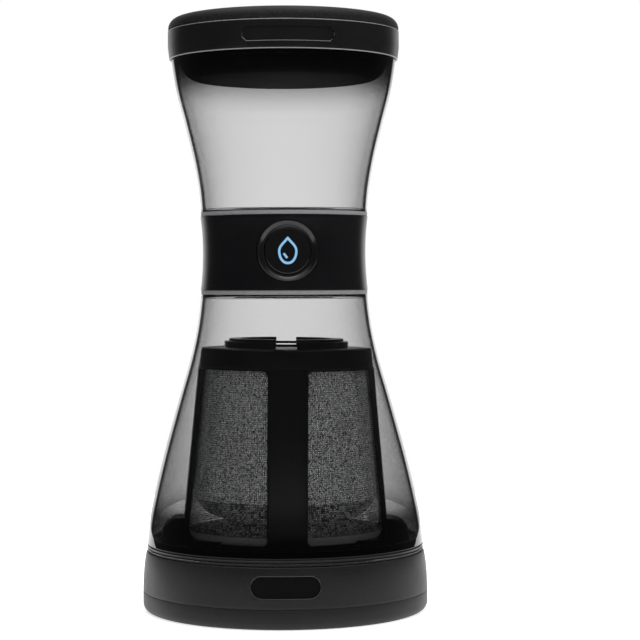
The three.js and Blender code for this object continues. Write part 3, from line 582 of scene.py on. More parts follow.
def block(name: str, low: Sequence[float], high: Sequence[float]) -> bpy.types.Object:
    """Add a cube that fills a box, as the start of a cutter.

    Args:
        name: the piece's name.
        low: lowest corner, in millimetres.
        high: highest corner.

    Returns:
        The cube, in object mode.
    """
    clear_selection()
    middle = [(a + b) / 2 * MM for a, b in zip(low, high)]
    size = [(b - a) * MM for a, b in zip(low, high)]
    bpy.ops.mesh.primitive_cube_add(size=1, location=middle, scale=size)
    piece = named(name)
    bpy.ops.object.transform_apply()
    return piece


def round_edges(
    piece: bpy.types.Object,
    wanted: Callable[[Vector, Vector], bool],
    radius: float,
    segments: int = 8,
    painted_highlight: bool = False,
) -> None:
    """Bevel the edges that a test picks.

    Args:
        piece: the piece.
        wanted: takes the edge's two end points in millimetres and says whether it is rounded.
        radius: of the rounding, in millimetres.
        segments: faces across the rounding.
        painted_highlight: whether the rounding takes the piece's second finish.
    """
    activate(piece)
    mesh = piece.data
    while painted_highlight and len(mesh.materials) < 2:
        mesh.materials.append(None)
    bpy.ops.object.mode_set(mode="EDIT")
    bpy.ops.mesh.select_mode(type="EDGE")
    bpy.ops.mesh.select_all(action="DESELECT")
    bpy.ops.object.mode_set(mode="OBJECT")
    for edge in mesh.edges:
        a, b = (mesh.vertices[i].co / MM for i in edge.vertices)
        edge.select = bool(wanted(a, b))
    bpy.ops.object.mode_set(mode="EDIT")
    bpy.ops.mesh.bevel(
        offset=radius * MM, segments=segments, affect="EDGES", clamp_overlap=False, material=int(painted_highlight) or -1
    )
    bpy.ops.object.mode_set(mode="OBJECT")


def paint(piece: bpy.types.Object, wanted: Callable[[Vector], bool], slot: int) -> None:
    """Give the faces that a test picks another of the piece's finishes.

    Args:
        piece: the piece.
        wanted: takes a face's middle in millimetres and says whether it is painted.
        slot: the finish's place among the piece's finishes.
    """
    while len(piece.data.materials) <= slot:
        piece.data.materials.append(None)
    for polygon in piece.data.polygons:
        if wanted(polygon.center / MM):
            polygon.material_index = slot


def soften(piece: bpy.types.Object, width: float, segments: int = 2, angle: float = SHARP) -> None:
    """Round all sharp edges with a Bevel modifier.

    Args:
        piece: the piece.
        width: of the rounding, in millimetres.
        segments: faces across it.
        angle: edges sharper than this are rounded, in degrees.
    """
    activate(piece)
    modifier = piece.modifiers.new("edges", "BEVEL")
    modifier.width = width * MM
    modifier.segments = segments
    modifier.limit_method = "ANGLE"
    modifier.angle_limit = math.radians(angle)
    bpy.ops.object.modifier_apply(modifier=modifier.name)


def cut(piece: bpy.types.Object, cutter: bpy.types.Object) -> None:
    """Cut a piece with a Boolean modifier and remove the cutter.

    Args:
        piece: the piece that stays.
        cutter: what is cut out of it.
    """
    activate(piece)
    modifier = piece.modifiers.new("cutter", "BOOLEAN")
    modifier.operation = "DIFFERENCE"
    modifier.object = cutter
    modifier.solver = "EXACT"
    bpy.ops.object.modifier_apply(modifier=modifier.name)
    bpy.data.objects.remove(cutter)


def copies(piece: bpy.types.Object, turns: Sequence[float]) -> list[bpy.types.Object]:
    """Copy a piece round Z, each copy with its own mesh, and turn the piece itself to the first place.

    Args:
        piece: the piece, modelled at no turn.
        turns: where the piece and its copies stand, in degrees.

    Returns:
        The piece and its copies.
    """
    made = [piece] + [duplicate(piece) for _ in turns[1:]]
    for one, turn in zip(made, turns):
        activate(one)
        one.rotation_euler = Euler((0, 0, math.radians(turn)))
        bpy.ops.object.transform_apply()
    return made


def join(pieces: list[bpy.types.Object]) -> bpy.types.Object:
    """Join pieces into the first of them.

    Args:
        pieces: the pieces, of which the first keeps its name.

    Returns:
        The joined piece.
    """
    activate(pieces[0])
    for piece in pieces[1:]:
        piece.select_set(True)
    bpy.ops.object.join()
    return pieces[0]


def face_front(piece: bpy.types.Object, height: float) -> None:
    """Turn a piece that was modelled about Z to look along -Y at a height.

    Args:
        piece: the piece, whose +Z becomes the front.
        height: of its axis above the floor, in millimetres.
    """
    activate(piece)
    piece.rotation_euler = Euler((math.radians(90), 0, 0))
    piece.location = (0, 0, height * MM)
    bpy.ops.object.transform_apply()


def mark_outer_skin(piece: bpy.types.Object) -> None:
    """Mark the faces of a round shell that look away from the axis.

    Args:
        piece: the shell, in place.
    """
    mark = piece.data.attributes.new("outer_skin", "FLOAT", "FACE")
    for polygon in piece.data.polygons:
        middle = polygon.center
        outwards = polygon.normal.x * middle.x + polygon.normal.y * middle.y
        mark.data[polygon.index].value = float(outwards > 0)


def weave_map(piece: bpy.types.Object) -> None:
    """Give a turned piece a UV map in millimetres along its side, for its weave.

    Args:
        piece: the piece, in place.
    """
    mesh = piece.data
    layer = mesh.uv_layers.new(name="weave")
    widest = max(math.hypot(v.co.x, v.co.y) for v in mesh.vertices)
    for polygon in mesh.polygons:
        flat = abs(polygon.normal.z) > 0.7
        turns = [math.atan2(mesh.vertices[i].co.x, -mesh.vertices[i].co.y) for i in polygon.vertices]
        about = math.atan2(sum(math.sin(t) for t in turns), sum(math.cos(t) for t in turns))
        for loop, vertex, turn in zip(polygon.loop_indices, polygon.vertices, turns):
            place = mesh.vertices[vertex].co
            turn = about + math.remainder(turn - about, 2 * math.pi)
            across, along = (place.x, place.y) if flat else (turn * widest, place.z)
            layer.data[loop].uv = (across / MM, along / MM)


# Outlines


def arc(centre: Pair, radius: float, start: float, end: float, steps: int = 10) -> Outline:
    """Points on part of a circle in an outline.

    Args:
        centre: radius and height of its centre, in millimetres.
        radius: of the arc.
        start: where it starts, in degrees from outwards.
        end: where it ends.
        steps: stretches along it.

    Returns:
        The points, both ends included.
    """
    turns = [math.radians(start + (end - start) * i / steps) for i in range(steps + 1)]
    return [(centre[0] + radius * math.cos(t), centre[1] + radius * math.sin(t)) for t in turns]


def square(inner: float, outer: float, low: float, high: float) -> Outline:
    """Give the four corners between two radii and two heights."""
    return [(inner, low), (outer, low), (outer, high), (inner, high)]


def bowed(start: Pair, pull: Pair, end: Pair, steps: int) -> Outline:
    """Points on a quadratic curve.

    Args:
        start: its first point.
        pull: the point that it bends towards.
        end: its last point.
        steps: stretches along it.

    Returns:
        The points, both ends included.
    """
    points = []
    for i in range(steps + 1):
        t = i / steps
        weights = ((1 - t) ** 2, 2 * t * (1 - t), t * t)
        points.append(tuple(sum(w * p[k] for w, p in zip(weights, (start, pull, end))) for k in (0, 1)))
    return points


def side_line(shares: Sequence[Pair], start: Pair, end: Pair, wall: float, steps: int = 56) -> Outline:
    """Points on the smooth side of a chamber, moved inwards by the wall.

    Args:
        shares: share of the height, and share of the way from the start's to the end's radius.
        start: the radius at a share of 0, and the side's lowest height.
        end: the radius at a share of 1, and the side's length upwards.
        wall: how far inwards the line is moved, in millimetres.
        steps: stretches along it.

    Returns:
        The points from the lower end to the upper one.
    """
    (thin, low), (wide, height) = start, end
    places = [Vector((thin + (wide - thin) * out, low + height * up)) for up, out in shares]
    line = []
    for i in range(steps + 1):
        at = i / steps * (len(places) - 1)
        k = min(int(at), len(places) - 2)
        t = at - k
        p1, p2 = places[k], places[k + 1]
        v1 = (p2 - places[max(k - 1, 0)]) / 2
        v2 = (places[min(k + 2, len(places) - 1)] - p1) / 2
        a = 2 * p1 - 2 * p2 + v1 + v2
        b = -3 * p1 + 3 * p2 - 2 * v1 - v2
        point = ((a * t + b) * t + v1) * t + p1
        along = ((3 * a * t + 2 * b) * t + v1).normalized()
        line.append((point.x - wall * along.y, point.y + wall * along.x))
    return line


def between(line: Outline, low: float, high: float) -> Outline:
    """Keep the points of a line between two heights."""
    return [point for point in line if low < point[1] < high]


@dataclass(frozen=True)
class Plaque:
    """The oblong bed of a plaque in the front of a round cap, in millimetres."""

    width: float
    height: float
    level: float  # height of its middle above the floor
    corner: float  # how far its corners are cut or rounded
    corner_steps: int
    turn: float = 0.0  # degrees about Z
    depth: float = 0.8
    brim: float = 0.3  # rounding of its brim, which carries a painted highlight
    ahead: float = 5.0  # how far its cutter stands out of the cap
    behind: float = 12.0  # and how far it goes in

    def sink(self, cap: bpy.types.Object, radius: float, floor: Outline) -> None:
        """Cut the bed into a cap.

        Args:
            cap: the cap.
            radius: the cap's largest radius.
            floor: outline of the round core that the bed reaches down to.
        """
        low = (-self.width / 2, -radius - self.ahead, self.level - self.height / 2)
        high = (self.width / 2, -radius + self.behind, self.level + self.height / 2)
        cutter = block("plaque_cutter", low, high)
        round_edges(cutter, lambda a, b: abs(a.y - b.y) > 1, self.corner, self.corner_steps)
        copies(cutter, (self.turn,))
        cut(cutter, turned("plaque_core", floor, Ends.SOLID))
        cut(cap, cutter)


# Dressing


@dataclass
class Wardrobe:
    """Makes each finish's material once and dresses pieces with it."""

    made: dict[str, bpy.types.Material] = field(default_factory=dict)

    def cloth(self, finish: Finish) -> bpy.types.Material:
        """Give a finish's material, made at its first use.

        Args:
            finish: the finish.

        Returns:
            Its material.
        """
        if finish.name not in self.made:
            self.made[finish.name] = finish.material()
        return self.made[finish.name]

    def dress(
        self, piece: bpy.types.Object, body: str, slot: str, finishes: Sequence[Finish], *nodes: str
    ) -> None:
        """Finish a piece: smooth shading, materials, body and the nodes that it stands for.

        Args:
            piece: the piece, in place.
            body: the body that it rides on.
            slot: its slot in the record; not used.
            finishes: its finish, and those of its edges with a painted highlight and its painted faces.
            *nodes: the frame's nodes that it stands for.
        """
        activate(piece)
        bpy.ops.object.shade_smooth_by_angle(angle=math.radians(SHARP))
        for index, finish in enumerate(finishes):
            if index == len(piece.data.materials):
                piece.data.materials.append(None)
            piece.data.materials[index] = self.cloth(finish)
        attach(piece, body)
        if nodes:
            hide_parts(*nodes)
        LOG.info("%s: %d faces, rides on %s", piece.name, len(piece.data.polygons), body)

    def dress_node(self, node: str, finish: Finish) -> None:
        """Give a node of the frame its finish.

        Args:
            node: the node's name.
            finish: its finish.
        """
        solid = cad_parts[node]
        solid.data.materials.clear()
        solid.data.materials.append(self.cloth(finish))
        LOG.info("%s: the frame's own solid in %s", node, finish.name)


# Sub-assemblies


@dataclass
class SubAssembly:
    """Pieces that belong together, modelled in millimetres and dressed from a wardrobe."""

    wardrobe: Wardrobe

    def build(self) -> None:
        """Model and dress the pieces in order."""
        raise NotImplementedError


@dataclass
class Base(SubAssembly):
    """Foot ring, base cap and the plug that carries the filter."""

    foot_radius: float = 79.5
    foot_height: float = 11.1
    foot_width: float = 13.5
    foot_round: float = 4.5
    shelf: float = 11.2
    rim_radius: float = 77.5
    rim: float = 33.0
    belly: Pair = (79.3, 25.98)
    bore: float = 75.5
    floor: float = 3.0
    middle_radius: float = 65.7
    recess: float = 3.0
    plaque: Plaque = Plaque(36.7, 11.4, 22.7, corner=11.4 / 2 - 0.05, corner_steps=14, turn=-2.3)
    plug_radius: float = 71.1
    plug_wall: float = 3.0
    plug_foot: Pair = (14.5, 16.7)  # from, to
    plug_foot_radius: float = 75.0
    deck: float = 37.5
    plug_rim: float = 40.0
    seal: Pair = (31.5, 34.5)  # from, to
    seal_depth: float = 1.4
    hook_inner: float = 61.8
    hook_wall: float = 2.2
    hook_bite: float = 3.4
    hook_low: float = 40.7
    hook_top: float = 43.1
    hook_half_turn: float = 7.0

    def build(self) -> None:
        """Model and dress the pieces from the floor up."""
        self.build_foot()
        self.build_cap()
        self.build_plug()

    def side(self, inwards: float = 0.0) -> Outline:
        """Give the cap's side line, moved inwards by a distance."""
        points = bowed((self.foot_radius, self.shelf), self.belly, (self.rim_radius, self.rim), 16)
        return [(radius - inwards, height) for radius, height in points]

    def side_radius(self, height: float) -> float:
        """Give the cap's radius at a height of its side.

        Args:
            height: above the floor, in millimetres.

        Returns:
            The radius there.
        """
        line = self.side()
        for (r0, z0), (r1, z1) in zip(line, line[1:]):
            if height <= z1:
                return r0 + (r1 - r0) * (height - z0) / (z1 - z0)
        return line[-1][0]

    def build_foot(self) -> None:
        """Model the foot ring and dress it."""
        bore = self.foot_radius - self.foot_width
        ring = turned("foot_ring_fine", [
            (bore, 0.0),
            *arc((self.foot_radius - self.foot_round, self.foot_round), self.foot_round, -90, 0, 12),
            (self.foot_radius, self.foot_height), (bore, self.foot_height),
        ], Ends.RING)
        soften(ring, 0.25)
        self.wardrobe.dress(ring, "base", "foot_rubber", [FOOT_TPE], "foot_ring")

    def build_cap(self) -> None:
        """Model the base cap with its plaque's bed and dress it."""
        inner = self.middle_radius - self.floor
        step = self.shelf + self.floor
        cap = turned("base_cap_fine", [
            (self.middle_radius, self.recess), (self.middle_radius, self.shelf), *self.side(),
            (self.bore, self.rim), (self.bore, step), (inner, step), (inner, self.recess + self.floor),
        ], Ends.SOLID)
        soften(cap, 0.4, 3)
        plaque = self.plaque
        plaque.sink(cap, self.foot_radius, self.side(plaque.depth))
        upright = Matrix.Rotation(math.radians(-plaque.turn), 3, "Z")

        def depth(point: Vector) -> float:
            """Say how deep a point of the bed lies under the cap's side.

            Args:
                point: the point, in millimetres.

            Returns:
                Its depth, or -1 outside the bed.
            """
            place = upright @ point
            past = max(0.0, abs(place.x) - (plaque.width - plaque.height) / 2)
            if place.y > 0 or math.hypot(past, place.z - plaque.level) > plaque.height / 2 + 0.05:
                return -1.0
            return self.side_radius(point.z) - math.hypot(point.x, point.y)

        def on_brim(a: Vector, b: Vector) -> bool:
            """Say whether an edge lies on the bed's brim."""
            return all(-0.3 < depth(point) < plaque.depth / 2 for point in (a, b))

        # The bed's brim takes a painted highlight
        round_edges(cap, on_brim, plaque.brim, 2, painted_highlight=True)
        paint(cap, lambda middle: depth(middle) > plaque.depth - 0.15, 2)
        finishes = [SOFT_TOUCH, LACQUER_EDGE_HIGHLIGHT, BOWL_ABS]
        self.wardrobe.dress(cap, "base", "soft_touch_black", finishes, "base_cap")

    def build_plug(self) -> None:
        """Model the plug and its four hooks, which lean inwards over the filter's tabs, and dress them."""
        inner = self.plug_radius - self.plug_wall
        groove = self.plug_radius - self.seal_depth
        (foot, foot_top), (seal, seal_top) = self.plug_foot, self.seal
        plug = turned("base_plug_fine", [
            (inner, self.deck - self.plug_wall), (inner, foot), (self.plug_foot_radius, foot),
            (self.plug_foot_radius, foot_top), (self.plug_radius, foot_top), (self.plug_radius, seal),
            (groove, seal), (groove, seal_top), (self.plug_radius, seal_top),
            (self.plug_radius, self.plug_rim), (inner, self.plug_rim), (inner, self.deck),
        ], Ends.SOLID)
        soften(plug, 0.35)
        self.wardrobe.dress(plug, "base_plug", "black_plastic", [INNER_ABS], "base_plug")
        outer = self.hook_inner + self.hook_wall
        tip = self.hook_inner - self.hook_bite
        hook = swept("plug_hooks", [
            (self.hook_inner, self.deck - 1), (outer, self.deck - 1), (outer, self.hook_top),
            (tip, self.hook_top), (tip, self.hook_low), (self.hook_inner, self.hook_low),
        ], self.hook_half_turn)
        soften(hook, 0.4)
        hooks = join(copies(hook, QUARTERS))
        self.wardrobe.dress(hooks, "base_plug", "black_plastic", [INNER_ABS])


@dataclass
class Filter(SubAssembly):
    """Cage, sleeve, hem, cup and cap of the filter."""

    foot: float = 37.8
    foot_radius: float = 58.2
    shoulder: float = 135.5
    shoulder_radius: float = 49.1
    step: float = 0.5
    rim: float = 146.0
    rim_radius: float = 47.5
    rim_edge: float = 0.65
    wall: float = 2.6
    floor: float = 40.3
    rib: float = 21.6
    sill: float = 41.5
    lintel: float = 134.3
    window_reach: float = 90.0  # how far the windows' cutters go out
    corner: float = 2.5
    sweep: float = 14.0
    sweep_reach: float = 27.0
    turn: float = -1.3
    gap: float = 0.3
    hem_top: float = 45.3
    sleeve_low: float = 45.6
    sleeve_top: float = 139.0
    sleeve_thick: float = 0.8
    cup_clear: float = 0.45
    cup_bottom: float = 51.6
    cup_round: float = 16.5
    cup_shade_top: float = 63.0  # below here the cup's bottom is painted black, as painted shade
    cup_wall: float = 0.8
    lip: float = 139.3
    lip_thick: float = 1.2
    tab_reach: float = 61.5
    tab_thick: float = 2.6
    tab_half_turn: float = 8.0
    wing_reach: float = 69.2
    wing_height: float = 13.5
    wing_round: float = 9.0
    wing_half_turn: float = 12.0
    cap: float = 142.6
    cap_radius: float = 43.4
    cap_turn: float = -2.4
    lean: float = 0.57
    lean_from: float = 50.0
    lower_radius: float = 34.6
    lower_rise: float = 3.5
    upper_radius: float = 32.0
    upper_rise: float = 5.0
    well_radius: float = 26.0
    notch: float = 11.4
    bridge_rise: float = 1.2
    bridge_thick: float = 1.4
    bridge_width: float = 2.6

    def build(self) -> None:
        """Model and dress the pieces from the outside in."""
        self.build_cage()
        self.build_sleeve()
        self.build_cup()
        self.build_cap()

    def outside(self, height: float) -> float:
        """Give the outer radius of the cage's lower part at a height."""
        share = (height - self.foot) / (self.shoulder - self.foot)
        return self.foot_radius + (self.shoulder_radius - self.foot_radius) * share

    def inside(self, height: float) -> float:
        """Give the inner radius of the cage's wall at a height.

        Args:
            height: above the floor, in millimetres.

        Returns:
            The radius there.
        """
        low, high = self.outside(self.floor) - self.wall, self.shoulder_radius - self.step - self.wall
        if height < self.shoulder:
            return low + (high - low) * (height - self.floor) / (self.shoulder - self.floor)
        share = (height - self.shoulder) / (self.rim - self.shoulder)
        return high + (self.rim_radius - self.wall - high) * share

    def cup_side(self, height: float) -> float:
        """Give the strainer cup's outer radius at a height."""
        return self.inside(height) - (self.gap + self.sleeve_thick + self.cup_clear)

    def build_cage(self) -> None:
        """Model the cage with its windows, wings and tabs, and dress it."""
        cage = turned("filter_cage_fine", [
            (self.foot_radius, self.foot), (self.shoulder_radius, self.shoulder),
            (self.shoulder_radius - self.step, self.shoulder + 0.3),
            (self.rim_radius, self.rim - self.rim_edge), (self.rim_radius - self.rim_edge, self.rim),
            *((self.inside(height), height) for height in (self.rim, self.shoulder, self.floor)),
        ], Ends.SOLID)
        for cutter in self.window_cutters():
            cut(cage, cutter)
        soften(cage, 0.3)
        inner = self.inside(self.floor) + self.wall / 2
        top = self.foot + self.wing_height
        wing = swept("wing", [
            (inner, self.foot), (self.wing_reach, self.foot),
            *arc((self.wing_reach - self.wing_round, top - self.wing_round), self.wing_round, 0, 90, 8),
            (self.inside(top) + self.wall / 2, top),
        ], self.wing_half_turn)
        soften(wing, 0.7, 3)
        outline = square(inner, self.tab_reach, self.foot, self.foot + self.tab_thick)
        tab = swept("tab", outline, self.tab_half_turn)
        soften(tab, 0.4)
        whole = join([cage, *copies(wing, (90, 270)), *copies(tab, QUARTERS)])
        copies(whole, (self.turn,))
        self.lean_over(whole)
        self.wardrobe.dress(whole, "filter", "black_plastic", [INNER_ABS], "filter_cage")

    def window_cutters(self) -> list[bpy.types.Object]:
        """Model the cutter between the front rib and the right rib, and copy it to all four windows.

        Returns:
            The four cutters.
        """
        half = self.rib / 2
        middle = (self.sill + self.lintel) / 2
        reach = self.window_reach
        window = block("window_cutter", (half, -reach, self.sill), (reach, -half, self.lintel))

        def by_front_rib(a: Vector, b: Vector) -> bool:
            """Say whether an edge runs through the wall beside the front rib."""
            return max(a.x, b.x) < half + 0.1 and abs(a.y - b.y) > 1

        def by_side_rib(a: Vector, b: Vector) -> bool:
            """Say whether an edge runs through the wall beside the side rib."""
            return min(a.y, b.y) > -half - 0.1 and abs(a.x - b.x) > 1

        round_edges(window, by_front_rib, self.corner, 6)
        round_edges(window, lambda a, b: by_side_rib(a, b) and a.z > middle, self.corner, 6)
        round_edges(window, lambda a, b: by_side_rib(a, b) and a.z < middle, self.sweep, 14)
        # The swept corner by the side rib is longer than high
        activate(window)
        for vertex in window.data.vertices:
            place = vertex.co / MM
            if place.z < self.sill + self.sweep + 0.1 and place.y > -half - self.sweep + 0.1:
                along = (-half - place.y) * self.sweep_reach / self.sweep
                vertex.co.y = (-half - along) * MM
        cutters = [window]
        for flip_x, flip_y in ((-1, 1), (1, -1), (-1, -1)):
            copy = duplicate(window)
            activate(copy)
            copy.scale = (flip_x, flip_y, 1)
            bpy.ops.object.transform_apply()
            bpy.ops.object.mode_set(mode="EDIT")
            bpy.ops.mesh.select_all(action="SELECT")
            bpy.ops.mesh.normals_make_consistent(inside=False)
            bpy.ops.object.mode_set(mode="OBJECT")
            cutters.append(copy)
        return cutters

    def lean_over(self, piece: bpy.types.Object) -> None:
        """Lean a piece a little to the right above its foot, as the filter stands in its hooks.

        Args:
            piece: the piece, upright.
        """
        above = {v.index for v in piece.data.vertices if v.co.z > self.lean_from * MM}
        activate(piece)
        bpy.ops.object.mode_set(mode="EDIT")
        select_vertices(piece, above)
        pivot = (0, 0, self.lean_from * MM)
        bpy.ops.transform.rotate(value=-math.radians(self.lean), orient_axis="Y", center_override=pivot)
        bpy.ops.object.mode_set(mode="OBJECT")

    def sleeve_outline(self, low: float, high: float) -> Outline:
        """Give the outline of a sleeve inside the cage between two heights.

        Args:
            low: its lower end, in millimetres.
            high: its upper end.

        Returns:
            The points up its outer side and down its inner one.
        """
        heights = [low] + ([self.shoulder] if low < self.shoulder < high else []) + [high]
        outer = [(self.inside(z) - self.gap, z) for z in heights]
        return outer + [(radius - self.sleeve_thick, z) for radius, z in reversed(outer)]

    def build_sleeve(self) -> None:
        """Model the woven sleeve and its hem and dress them."""
        sleeve = turned("filter_mesh_fine", self.sleeve_outline(self.sleeve_low, self.sleeve_top), Ends.RING)
        self.lean_over(sleeve)
        weave_map(sleeve)
        self.wardrobe.dress(sleeve, "filter", "filter_mesh", [OUTER_WEAVE], "filter_mesh")
        hem = turned("filter_hem_fine", self.sleeve_outline(self.floor + self.gap, self.hem_top), Ends.RING)
        soften(hem, 0.2)
        self.wardrobe.dress(hem, "filter", "black_plastic", [HEM_ABS_PAINTED_LIGHT], "filter_hem")

    def build_cup(self) -> None:
        """Model the strainer cup and dress it."""
        side = self.cup_side
        bend = self.cup_bottom + self.cup_round
        centre = (side(bend) - self.cup_round, bend)
        lip = self.inside(self.lip + self.lip_thick) - self.gap
        cup = turned("strainer_cup_fine", [
            *arc(centre, self.cup_round, -90, 0, 14),
            *((side(height), height) for height in (bend + 1, self.shoulder, self.lip)),
            (lip, self.lip), (lip, self.lip + self.lip_thick),
            (side(self.lip) - self.cup_wall, self.lip + self.lip_thick),
            (side(self.shoulder) - self.cup_wall, self.shoulder),
            *arc(centre, self.cup_round - self.cup_wall, 0, -90, 14),
        ], Ends.SOLID)
        self.lean_over(cup)
        weave_map(cup)
        # The cup's rounded bottom takes the dark finish: painted shade under the cup
        paint(cup, lambda middle: middle.z < self.cup_shade_top, 1)
        self.wardrobe.dress(cup, "filter", "filter_mesh", [CUP_WEAVE, INNER_ABS], "strainer_cup")

    def build_cap(self) -> None:
        """Model the cap with its two C-shaped steps and bridges and dress it."""
        lower = self.rim + self.lower_rise
        upper = self.rim + self.upper_rise
        cap = turned("filter_cap_fine", [
            (self.cap_radius, self.cap), (self.cap_radius, self.rim), (self.lower_radius, self.rim),
            (self.lower_radius, lower), (self.upper_radius, lower), (self.upper_radius, upper),
            (self.well_radius, upper), (self.well_radius, self.rim),
        ], Ends.SOLID)
        half = self.notch / 2
        reach = self.lower_radius + 1
        cut(cap, block("notch_cutter", (-half, -reach, self.rim), (half, reach, upper + 1)))
        soften(cap, 0.35)
        inner = self.lower_radius - self.bridge_width
        low = self.rim + self.bridge_rise
        outline = square(inner, self.lower_radius - self.gap, low, low + self.bridge_thick)
        bridge = swept("bridge", outline, math.degrees((half + 0.8) / inner))
        soften(bridge, 0.2)
        whole = join([cap, *copies(bridge, (0, 180))])
        copies(whole, (self.cap_turn,))
        self.lean_over(whole)
        self.wardrobe.dress(whole, "filter_cap", "black_plastic", [INNER_ABS], "filter_cap")


@dataclass
class Chambers(SubAssembly):
    """Both smoky clear chambers."""

    wall: float = 2.4
    neck_radius: float = 46.4
    neck_screw: float = 31.5
    neck_bore: float = 28.5
    neck_fall: float = 0.5
    neck_floor: float = 2.3
    upper_neck_floor: float = 1.75
    land: float = 2.2  # height of the neck's band that is painted light
    neck_corner: float = 0.6
    screw_radius: float = 75.0
    skirt: float = 17.3
    lip: float = 33.4
    lip_top: float = 36.7
    lip_radius: float = 77.2
    lip_round: float = 0.32
    lip_beads: tuple[Pair, ...] = ((34.35, 34.9), (36.0, 36.75))  # from, to
    flare_foot: float = 37.4  # the lip's grooves end and the flare starts
    lip_step: float = 0.9
    neck: float = 175.8
    neck_top: float = 178.1
    neck_end: float = 185.85
    serving_end: float = 213.25
    serving_foot: float = 219.3
    serving_neck: float = 223.3
    shoulder: float = 305.9
    shoulder_radius: float = 62.5
    rim: float = 315.5
    rim_radius: float = 60.4
    brew_shares: tuple[Pair, ...] = (
        (0, 1), (0.104, 0.948), (0.23, 0.831), (0.358, 0.691), (0.484, 0.537), (0.613, 0.371),
        (0.742, 0.202), (0.871, 0.075), (1, 0),
    )
    serving_shares: tuple[Pair, ...] = (
        (0, 0), (0.16, 0.085), (0.365, 0.28), (0.576, 0.547), (0.788, 0.826), (1, 1),
    )

    def build(self) -> None:
        """Model and dress the lower chamber, then the upper one."""
        self.build_brew()
        self.build_serving()

    def brew_line(self, wall: float) -> Outline:
        """Give the brew chamber's side, moved inwards by a wall."""
        end = (self.lip_radius, self.neck - self.lip_top)
        return side_line(self.brew_shares, (self.neck_radius, self.lip_top), end, wall)

    def serving_line(self, wall: float) -> Outline:
        """Give the serving chamber's side, moved inwards by a wall."""
        end = (self.shoulder_radius, self.shoulder - self.serving_neck)
        return side_line(self.serving_shares, (self.neck_radius, self.serving_neck), end, wall)

    def beads(self) -> Outline:
        """Give the lip's outline: a ledge, rounded beads with grooves between them, and the flare's foot.

        Returns:
            The points from the ledge up to the flare.
        """
        groove = self.lip_radius - self.lip_step
        edge = self.lip_round
        points = [(self.screw_radius, self.lip), (groove, self.lip)]
        for low, high in self.lip_beads:
            points.append((groove, low - 0.1))
            points += arc((self.lip_radius - edge, low + edge), edge, -90, 0, 4)
            points += arc((self.lip_radius - edge, high - edge), edge, 0, 90, 4)
            points.append((groove, high + 0.1))
        points += [(groove, self.flare_foot), (self.lip_radius - 0.06, self.flare_foot)]
        points.append((self.lip_radius - 0.09, self.flare_foot + 0.35))
        return points

    def build_brew(self) -> None:
        """Model the brew chamber and dress it."""
        bore = self.screw_radius - self.wall
        floor = self.neck_top - self.neck_floor
        corner = self.neck_radius - self.wall
        inside = between(self.brew_line(self.wall), self.lip_top + self.wall, self.neck - 1)
        inside.append((corner, floor - self.neck_fall - self.neck_corner))
        shell = turned("brew_chamber_fine", [
            (self.screw_radius, self.skirt), *self.beads(),
            *between(self.brew_line(0), self.flare_foot + 0.8, self.neck + 1),
            (self.neck_radius, self.neck_top - self.land), (self.neck_radius, self.neck_top),
            (self.neck_screw, self.neck_top), (self.neck_screw, self.neck_end),
            (self.neck_bore, self.neck_end), (self.neck_bore, floor),
            (corner - self.neck_corner, floor - self.neck_fall),
            *reversed(inside), (bore, self.lip_top), (bore, self.skirt),
        ], Ends.RING)
        soften(shell, 0.12, angle=BLUNT)
        mark_outer_skin(shell)
        self.paint_light_band(shell, self.neck_top - self.land, self.neck_top)
        groove = self.lip_radius - self.lip_step / 2

        def in_shaded_groove(at: Vector) -> bool:
            """Say whether a face lies in the lip's grooves or at the flare's foot, which are painted black
            as painted shade.

            Args:
                at: the face's middle, in millimetres.

            Returns:
                Whether it does.
            """
            radius = math.hypot(at.x, at.y)
            if self.flare_foot - 0.05 < at.z < self.flare_foot + 0.4:
                return radius > bore + 3
            return self.lip - 0.1 < at.z < self.flare_foot and bore + 3 < radius < groove

        # The grooves and the flare's foot take the black finish: painted shade
        paint(shell, in_shaded_groove, 2)
        finishes = [BREW_SMOKE_AND_SHADE, LAND_PAINTED_LIGHT, INNER_ABS]
        self.wardrobe.dress(shell, "brew_chamber", "smoky_clear", finishes, "brew_chamber")

    def build_serving(self) -> None:
        """Model the serving chamber and dress it."""
        under = self.shoulder - self.wall
        floor = self.serving_foot + self.upper_neck_floor
        corner = self.neck_radius - self.wall
        bore = self.rim_radius - self.wall
        inside = between(self.serving_line(self.wall), self.serving_neck + 1, under)
        inside.insert(0, (corner, floor + self.neck_fall + self.neck_corner))
        shell = turned("serving_chamber_fine", [
            (self.neck_radius, self.serving_foot), (self.neck_radius, self.serving_foot + self.land),
            *self.serving_line(0), (self.rim_radius, self.shoulder), (self.rim_radius, self.rim),
            (bore, self.rim), (bore, under), *reversed(inside),
            (corner - self.neck_corner, floor + self.neck_fall), (self.neck_bore, floor),
            (self.neck_bore, self.serving_end), (self.neck_screw, self.serving_end),
            (self.neck_screw, self.serving_foot),
        ], Ends.RING)
        soften(shell, 0.35, angle=BLUNT)
        mark_outer_skin(shell)
        self.paint_light_band(shell, self.serving_foot, self.serving_foot + self.land)
        finishes = [SERVING_SMOKE_AND_SHADE, LAND_PAINTED_LIGHT]
        self.wardrobe.dress(shell, "serving_chamber", "smoky_clear", finishes, "serving_chamber")

    def paint_light_band(self, shell: bpy.types.Object, low: float, high: float) -> None:
        """Give the outer faces of a neck between two heights the second finish, a painted light band."""
        edge = self.neck_radius - 0.5
        paint(shell, lambda at: math.hypot(at.x, at.y) > edge and low < at.z < high, 1)


